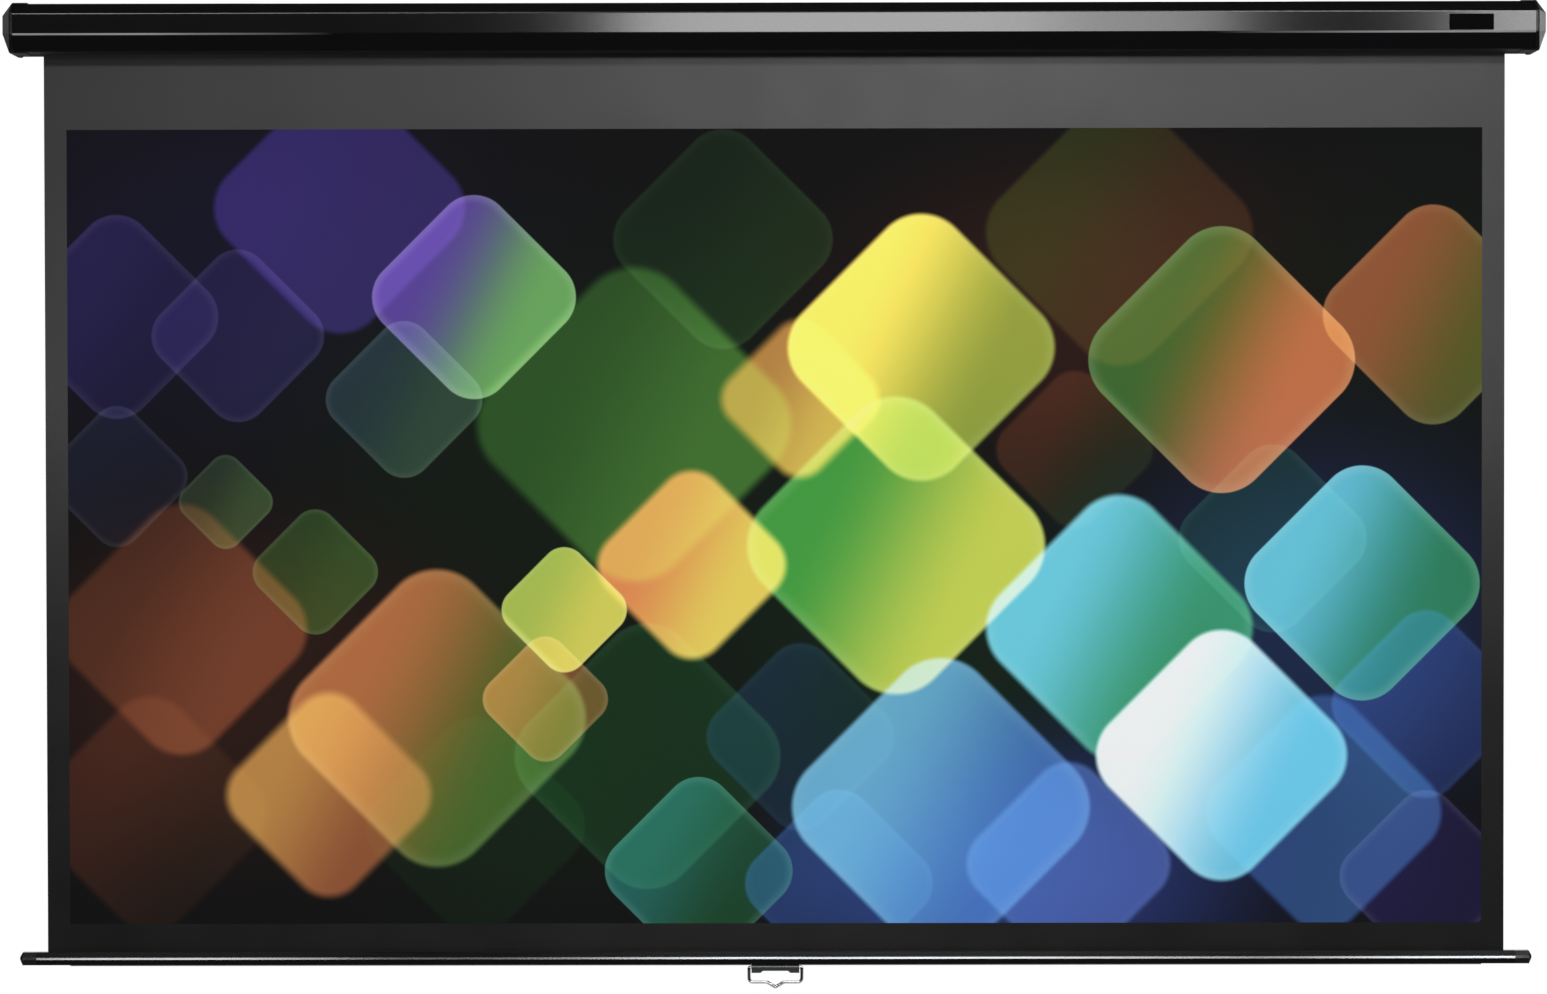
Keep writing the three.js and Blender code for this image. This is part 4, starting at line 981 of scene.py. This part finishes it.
@dataclass
class RollerUnit:
    """The roller with its fabric groove, the spring motor with its lock, and the idle end."""

    wraps: float = 2.5
    steps_per_wrap: int = 40
    outer_radius: float = 0.02205
    pitch: float = 0.0010
    groove_reach: float = 0.0177
    cuts: int = 24

    def build(self) -> None:
        """Dress the inner nodes and wind the fabric that stays on the roller."""
        dress(Finish.ALUMINIUM, "roller_tube")
        dress(Finish.NYLON, "fabric_spline", "pawl_carrier", "idle_plug", "idle_bush", "spring_collar")
        dress(Finish.ZINC, "spring_spindle", "ratchet_wheel", "pawl_a", "pawl_b", "pawl_pin_a", "pawl_pin_b",
              "gudgeon_pin", "gudgeon_clip")
        dress(Finish.SPRING, "torsion_spring")
        self.wind()

    def wind(self) -> None:
        """Wind one sheet from the roll's back edge round the tube and into its groove."""
        count = round(self.wraps * self.steps_per_wrap)
        half = FABRIC_WIDTH / 2.0
        points = []
        for i in range(count + 1):
            share = i / count
            angle = FULL_TURN * self.wraps * share
            radius = self.outer_radius - self.wraps * self.pitch * share
            y = ROLLER_Y + radius * math.cos(angle)
            points.append(Vector((-half, y, ROLLER_Z + radius * math.sin(angle))))
        points.append(Vector((-half, ROLLER_Y - self.groove_reach, points[-1].z)))
        mesh = bmesh.new()
        chain = polyline(mesh, points)
        drawn_out(mesh, chain, -half, half, self.cuts)
        bmesh.ops.recalc_face_normals(mesh, faces=mesh.faces)
        thicken(mesh, FABRIC_THICKNESS)
        piece = place(mesh, "wound_fabric", Body.ROLLER, Slot.FABRIC, (Finish.BACKING,), smooth_deg=40.0)
        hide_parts("fabric_roll")


@dataclass
class HangingCloth:
    """The cloth between the roller and the weight bar: woven sheet, black masking, and a welded hem. It is
    made in two pieces that meet at the picture's lower edge, because only the upper one shortens as the bar
    rises."""

    top: float = 0.0007
    rod_z: float = -1.449
    rod_wrap: float = 0.00255
    layer_gap: float = 0.00030
    layer_ease: float = 0.05
    front_share: float = 0.2
    weld_top: float = -1.4255
    travel: float = 1.38544236
    loop_end: float = 1.6
    ripple: float = 0.0005
    broad_waves: float = 9.0
    broad_start: float = 0.7
    fine_waves: float = 21.0
    fine_lean: float = 2.0
    fine_share: float = 0.6
    rows: int = 72
    hem_rows: int = 4
    columns: int = 80
    loop_steps: int = 20

    def straight(self, start: float, end: float, rows: int) -> list[Vector]:
        """Give the cloth's middle line between two heights, easing forward to clear the hem's inner layer.

        Args:
            start: The upper height.
            end: The lower height.
            rows: How many steps lie between.

        Returns:
            The points, from the top.
        """
        points = []
        for i in range(rows + 1):
            z = start + (end - start) * i / rows
            ease = max(0.0, min(1.0, (self.weld_top + self.layer_ease - z) / self.layer_ease))
            points.append(Vector((-FABRIC_WIDTH / 2.0, FABRIC_Y - self.layer_gap * ease, z)))
        return points

    def loop(self) -> list[Vector]:
        """Give the middle line from the front of the rod round under it and up to the weld.

        Returns:
            The points in that order.
        """
        half = FABRIC_WIDTH / 2.0
        lean = math.asin(self.layer_gap / self.rod_wrap)
        points = []
        for i in range(self.loop_steps + 1):
            angle = math.pi / 2.0 + lean + (FULL_TURN - 2.0 * lean) * i / self.loop_steps
            points.append(Vector((-half, FABRIC_Y + self.rod_wrap * math.cos(angle),
                                  self.rod_z + self.rod_wrap * math.sin(angle))))
        for z in (self.rod_z + self.rod_wrap * self.loop_end, self.weld_top):
            points.append(Vector((-half, FABRIC_Y + self.layer_gap, z)))
        return points

    def wave(self, mesh: BMesh) -> None:
        """Give the hanging part the faint upright waves that tension leaves, none at its top and bottom.

        Args:
            mesh: The cloth, changed in place.
        """
        drop = self.top - PICTURE_BOTTOM
        for vert in mesh.verts:
            swell = math.sin(math.pi * (self.top - vert.co.z) / drop) ** 2
            broad = math.sin(vert.co.x * self.broad_waves + self.broad_start)
            fine = math.sin(vert.co.x * self.fine_waves + vert.co.z * self.fine_lean)
            vert.co.y += self.ripple * swell * (broad + self.fine_share * fine)

    def sheet(self, points: list[Vector]) -> tuple[BMesh, float]:
        """Draw a middle line out to the cloth's width, with the printed side and the back told apart.

        Args:
            points: The middle line at the cloth's left edge, from its top.

        Returns:
            The thickened sheet, whose faces number picture 0, masking 1 and backing 2, and the line's length.
        """
        half = FABRIC_WIDTH / 2.0
        mesh = bmesh.new()
        chain = polyline(mesh, points)
        length = sum(edge.calc_length() for edge in chain)
        drawn_out(mesh, chain, -half, half, self.columns)
        sideways, upright = (1.0, 0.0, 0.0), (0.0, 0.0, 1.0)
        for spot, across in (((-PICTURE_HALF, 0.0, 0.0), sideways), ((PICTURE_HALF, 0.0, 0.0), sideways),
                             ((0.0, 0.0, PICTURE_TOP), upright)):
            bmesh.ops.bisect_plane(mesh, geom=mesh.verts[:] + mesh.edges[:] + mesh.faces[:], dist=MERGE,
                                   plane_co=spot, plane_no=across)
        bmesh.ops.recalc_face_normals(mesh, faces=mesh.faces)
        if max(mesh.faces, key=lambda face: face.calc_center_median().z).normal.y > 0.0:
            bmesh.ops.reverse_faces(mesh, faces=mesh.faces)
        thicken(mesh, FABRIC_THICKNESS)
        for face in mesh.faces:
            centre = face.calc_center_median()
            shown = abs(centre.x) < PICTURE_HALF and PICTURE_BOTTOM < centre.z < PICTURE_TOP
            front = centre.y < FABRIC_Y - self.layer_gap * self.front_share and face.normal.y < FORWARD
            face.material_index = 2 if not front else 0 if shown else 1
        return mesh, length

    def build(self) -> None:
        """Build the cloth down to the picture's lower edge, and the border and hem below it."""
        finishes = (Finish.PICTURE, Finish.MASKING, Finish.BACKING)
        mesh, length = self.sheet(self.straight(self.top, PICTURE_BOTTOM, self.rows))
        self.wave(mesh)
        cloth = place(mesh, "hanging_cloth", Body.CASE, Slot.FABRIC, finishes, smooth_deg=40.0)
        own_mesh(cloth)
        hem_start = self.rod_z + self.rod_wrap * self.loop_end
        mesh, hem_length = self.sheet(self.straight(PICTURE_BOTTOM, hem_start, self.hem_rows) + self.loop())
        hem = place(mesh, "cloth_hem", Body.SCREEN_BAR, Slot.FABRIC, finishes, smooth_deg=40.0)
        for piece in (cloth, hem):
            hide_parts("fabric_sheet")


@dataclass
class WeightBar:
    """The coated bar in the hem, its end plugs, the strips in its track, and the handle's holder."""

    def build(self) -> None:
        """Dress the bar's nodes."""
        dress(Finish.BAR, "weight_bar")
        dress(Finish.NYLON, "hem_rod")
        dress(Finish.PLUG, "bar_plug_left", "bar_plug_right")
        dress(Finish.STRIP, "track_strip_left", "track_strip_right")
        dress(Finish.HOLDER, "handle_holder")


@dataclass
class PullBail:
    """The chrome wire pull under the bar."""

    width: float = 0.088
    drop: float = 0.026
    point_width: float = 0.027
    point_drop: float = 0.008
    wire: float = 0.0026
    shoulder: float = 0.0034
    bend: float = 0.0065
    point_bend: float = 0.003
    end_gap: float = 0.006
    bend_steps: int = 12
    sides: int = 8

    def path(self) -> list[Vector]:
        """Give the wire's centre line with its bends eased.

        Returns:
            The points from one end to the other.
        """
        side = self.width / 2.0 - self.wire
        floor = self.wire - self.drop
        half = self.point_width / 2.0
        corners = [
            (-self.end_gap / 2.0, 0.0), (-side, 0.0), (-side, floor), (-half, floor),
            (0.0, floor - self.point_drop), (half, floor), (side, floor), (side, 0.0),
            (self.end_gap / 2.0, 0.0),
        ]
        radii = [self.shoulder, self.bend, self.bend, self.point_bend, self.bend, self.bend, self.shoulder]
        spots = [Vector((x, FABRIC_Y, PIVOT_Z + z)) for x, z in corners]
        points = [spots[0]]
        for before, here, after, radius in zip(spots, spots[1:], spots[2:], radii):
            back = (before - here).normalized()
            onward = (after - here).normalized()
            reach = radius / math.tan(back.angle(onward) / 2.0)
            first, last = here + back * reach, here + onward * reach
            for i in range(self.bend_steps + 1):
                t = i / self.bend_steps
                points.append(first * (1 - t) ** 2 + here * (2 * t * (1 - t)) + last * t**2)
        points.append(spots[-1])
        return points

    def build(self) -> None:
        """Sweep the wire's round section along its path."""
        curve = bpy.data.curves.new("bail_line", "CURVE")
        curve.dimensions = "3D"
        curve.bevel_depth = self.wire
        curve.bevel_resolution = self.sides
        curve.use_fill_caps = True
        spline = curve.splines.new("POLY")
        points = self.path()
        spline.points.add(len(points) - 1)
        for slot, point in zip(spline.points, points):
            slot.co = (*point, 1.0)
        line = bpy.data.objects.new("bail_line", curve)
        bpy.context.scene.collection.objects.link(line)
        graph = bpy.context.evaluated_depsgraph_get()
        mesh = bmesh.new()
        mesh.from_mesh(line.evaluated_get(graph).to_mesh())
        bpy.data.objects.remove(line)
        bmesh.ops.remove_doubles(mesh, verts=mesh.verts, dist=MERGE)
        bmesh.ops.recalc_face_normals(mesh, faces=mesh.faces)
        piece = place(mesh, "pull_bail_wire", Body.BAIL, Slot.BAIL, (Finish.CHROME,), smooth_deg=50.0)
        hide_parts("handle_bail")


# Studio


@dataclass(frozen=True)
class StudioPaper(Mottled):
    """Pale uncoated paper off a roll: matt, and barely uneven."""

    name: str = "pale_studio_paper"
    dark: str = "#eae9e7"
    light: str = "#eeedeb"
    patch_mm: float = 400.0
    roughness: float = 0.9

    def sockets(self, tree: NodeTree, coords: NodeSocket) -> dict:
        """Add the paper's unevenness.

        Args:
            tree: The material's node tree.
            coords: The Object coordinates.

        Returns:
            What feeds the shader, by the input's name.
        """
        _, colour = self.mottled(tree, coords, self.patch_mm, detail=2.0)
        return {"Base Color": colour, "Roughness": self.roughness}


@dataclass(frozen=True)
class Softbox:
    """A soft lamp: where it stands, what it points at, its size in metres and its power in watts."""

    name: str
    at: tuple[float, float, float]
    aim: tuple[float, float, float]
    size: tuple[float, float]
    watts: float

    def build(self) -> None:
        """Add the lamp, hidden from the camera."""
        data = bpy.data.lights.new(self.name, "AREA")
        data.shape = "RECTANGLE"
        data.size, data.size_y = self.size
        data.energy = self.watts
        lamp = bpy.data.objects.new(self.name, data)
        lamp.location = self.at
        lamp.rotation_euler = (Vector(self.aim) - Vector(self.at)).to_track_quat("-Z", "Y").to_euler()
        lamp.visible_camera = False
        bpy.context.scene.collection.objects.link(lamp)


@dataclass
class Studio:
    """The pale floor, the soft lamps, the white surroundings and the camera at the photograph's angle."""

    floor_z: float = -2.05
    floor_size: tuple[float, float] = (9.0, 3.6)
    floor_y: float = 1.1
    camera_at: tuple[float, float, float] = (0.0110, -5.1867, -0.6545)
    tilt: float = -0.01465
    roll: float = 0.00173
    yaw: float = 0.00243
    lens: float = 76.797
    sensor: float = 36.0
    sight: float = 200.0
    room_light: float = 0.42
    mirrored_room: float = 0.02
    mirror_edge: tuple[float, float] = (0.75, 0.97)

    def build(self) -> None:
        """Set up the studio."""
        self.floor()
        self.world()
        self.camera()
        for lamp in (
            Softbox("key_softbox", (0.18, -5.15, 0.67), (0.1, 0.0, -0.4), (1.34, 0.6), 26.0),
            Softbox("key_feather", (1.12, -5.15, 0.67), (0.1, 0.0, -0.4), (0.55, 0.6), 7.0),
            Softbox("right_softbox", (2.36, -5.05, 0.67), (0.3, 0.0, -0.4), (0.5, 0.6), 9.5),
            Softbox("high_left_softbox", (-1.35, -3.6, 1.35), (-0.6, 0.0, -0.6), (1.7, 0.4), 25.0),
            Softbox("high_right_softbox", (1.35, -3.6, 1.35), (0.6, 0.0, -0.6), (1.7, 0.4), 34.0),
            Softbox("low_left_softbox", (-1.43, -2.5, -0.46), (-0.9, 0.0, -1.2), (0.70, 0.28), 4.0),
            Softbox("low_right_softbox", (1.55, -2.5, -0.46), (0.9, 0.0, -1.2), (0.50, 0.28), 3.0),
            Softbox("handle_softbox", (0.0, -2.5, -1.1), (0.0, 0.0, -1.4), (0.6, 0.5), 1.5),
            Softbox("high_front_softbox", (0.0, -3.0, 3.2), (0.0, 0.0, -0.7), (3.0, 1.4), 30.0),
            Softbox("right_side_softbox", (4.0, 1.9, 0.45), (1.2, 0.0, 0.0), (1.2, 1.2), 9.0),
            Softbox("left_side_softbox", (-4.0, 1.9, 0.45), (-1.2, 0.0, 0.0), (1.2, 1.2), 1.5),
            Softbox("back_softbox", (0.0, 4.0, 2.0), (0.0, 0.0, -0.5), (3.0, 2.0), 90.0),
        ):
            lamp.build()

    def floor(self) -> None:
        """Lay the floor, which takes the screen's shadow."""
        mesh = bmesh.new()
        bmesh.ops.create_grid(mesh, x_segments=4, y_segments=4, size=0.5)
        bmesh.ops.scale(mesh, verts=mesh.verts, vec=(*self.floor_size, 1.0))
        bmesh.ops.translate(mesh, verts=mesh.verts, vec=(0.0, self.floor_y, self.floor_z))
        data = bpy.data.meshes.new("studio_floor")
        mesh.to_mesh(data)
        mesh.free()
        data.materials.append(StudioPaper().material())
        floor = bpy.data.objects.new("studio_floor", data)
        bpy.context.scene.collection.objects.link(floor)

    def world(self) -> None:
        """Surround the screen with white for what is seen or mirrored, and a soft grey for its light."""
        world = bpy.data.worlds.new("studio")
        bpy.context.scene.world = world
        world.use_nodes = True
        tree = world.node_tree
        tree.nodes.clear()
        path = add_node(tree, "ShaderNodeLightPath").outputs
        seen = add_node(tree, "ShaderNodeMath", {0: path["Is Camera Ray"], 1: path["Is Transmission Ray"]},
                        operation="MAXIMUM").outputs[0]
        direction = add_node(tree, "ShaderNodeTexCoord").outputs["Generated"]
        ahead = add_node(tree, "ShaderNodeSeparateXYZ", {"Vector": direction}).outputs["Y"]
        mirrored = add_node(tree, "ShaderNodeMapRange", {
            "Value": ahead, "From Min": self.mirror_edge[0], "From Max": self.mirror_edge[1],
            "To Min": self.mirrored_room, "To Max": 1.0}, interpolation_type="SMOOTHSTEP").outputs[0]
        white = (1.0, 1.0, 1.0, 1.0)
        light, glossy, backdrop = (
            add_node(tree, "ShaderNodeBackground", {"Color": white, "Strength": strength}).outputs[0]
            for strength in (self.room_light, mirrored, 1.0))
        lit = add_node(tree, "ShaderNodeMixShader", {
            0: path["Is Glossy Ray"], 1: light, 2: glossy}).outputs[0]
        shown = add_node(tree, "ShaderNodeMixShader", {0: seen, 1: lit, 2: backdrop}).outputs[0]
        add_node(tree, "ShaderNodeOutputWorld", {"Surface": shown})

    def camera(self) -> None:
        """Stand the camera where the photograph was taken from."""
        data = bpy.data.cameras.new("photograph_view")
        data.sensor_width = self.sensor
        data.lens = self.lens
        data.clip_end = self.sight
        camera = bpy.data.objects.new("photograph_view", data)
        camera.location = self.camera_at
        camera.rotation_euler = Euler((math.pi / 2.0 + self.tilt, self.roll, self.yaw), "XYZ")
        bpy.context.scene.collection.objects.link(camera)
        bpy.context.scene.camera = camera
        bpy.context.scene.view_settings.view_transform = "Standard"


def main() -> None:
    """Build the studio and every sub-assembly, in order."""
    logging.basicConfig(level=logging.INFO, format="%(message)s")
    Studio().build()
    for assembly in (Case(), RollerUnit(), HangingCloth(), WeightBar(), PullBail()):
        log.info("building %s", type(assembly).__name__)
        assembly.build()


if __name__ == "__main__":
    main()
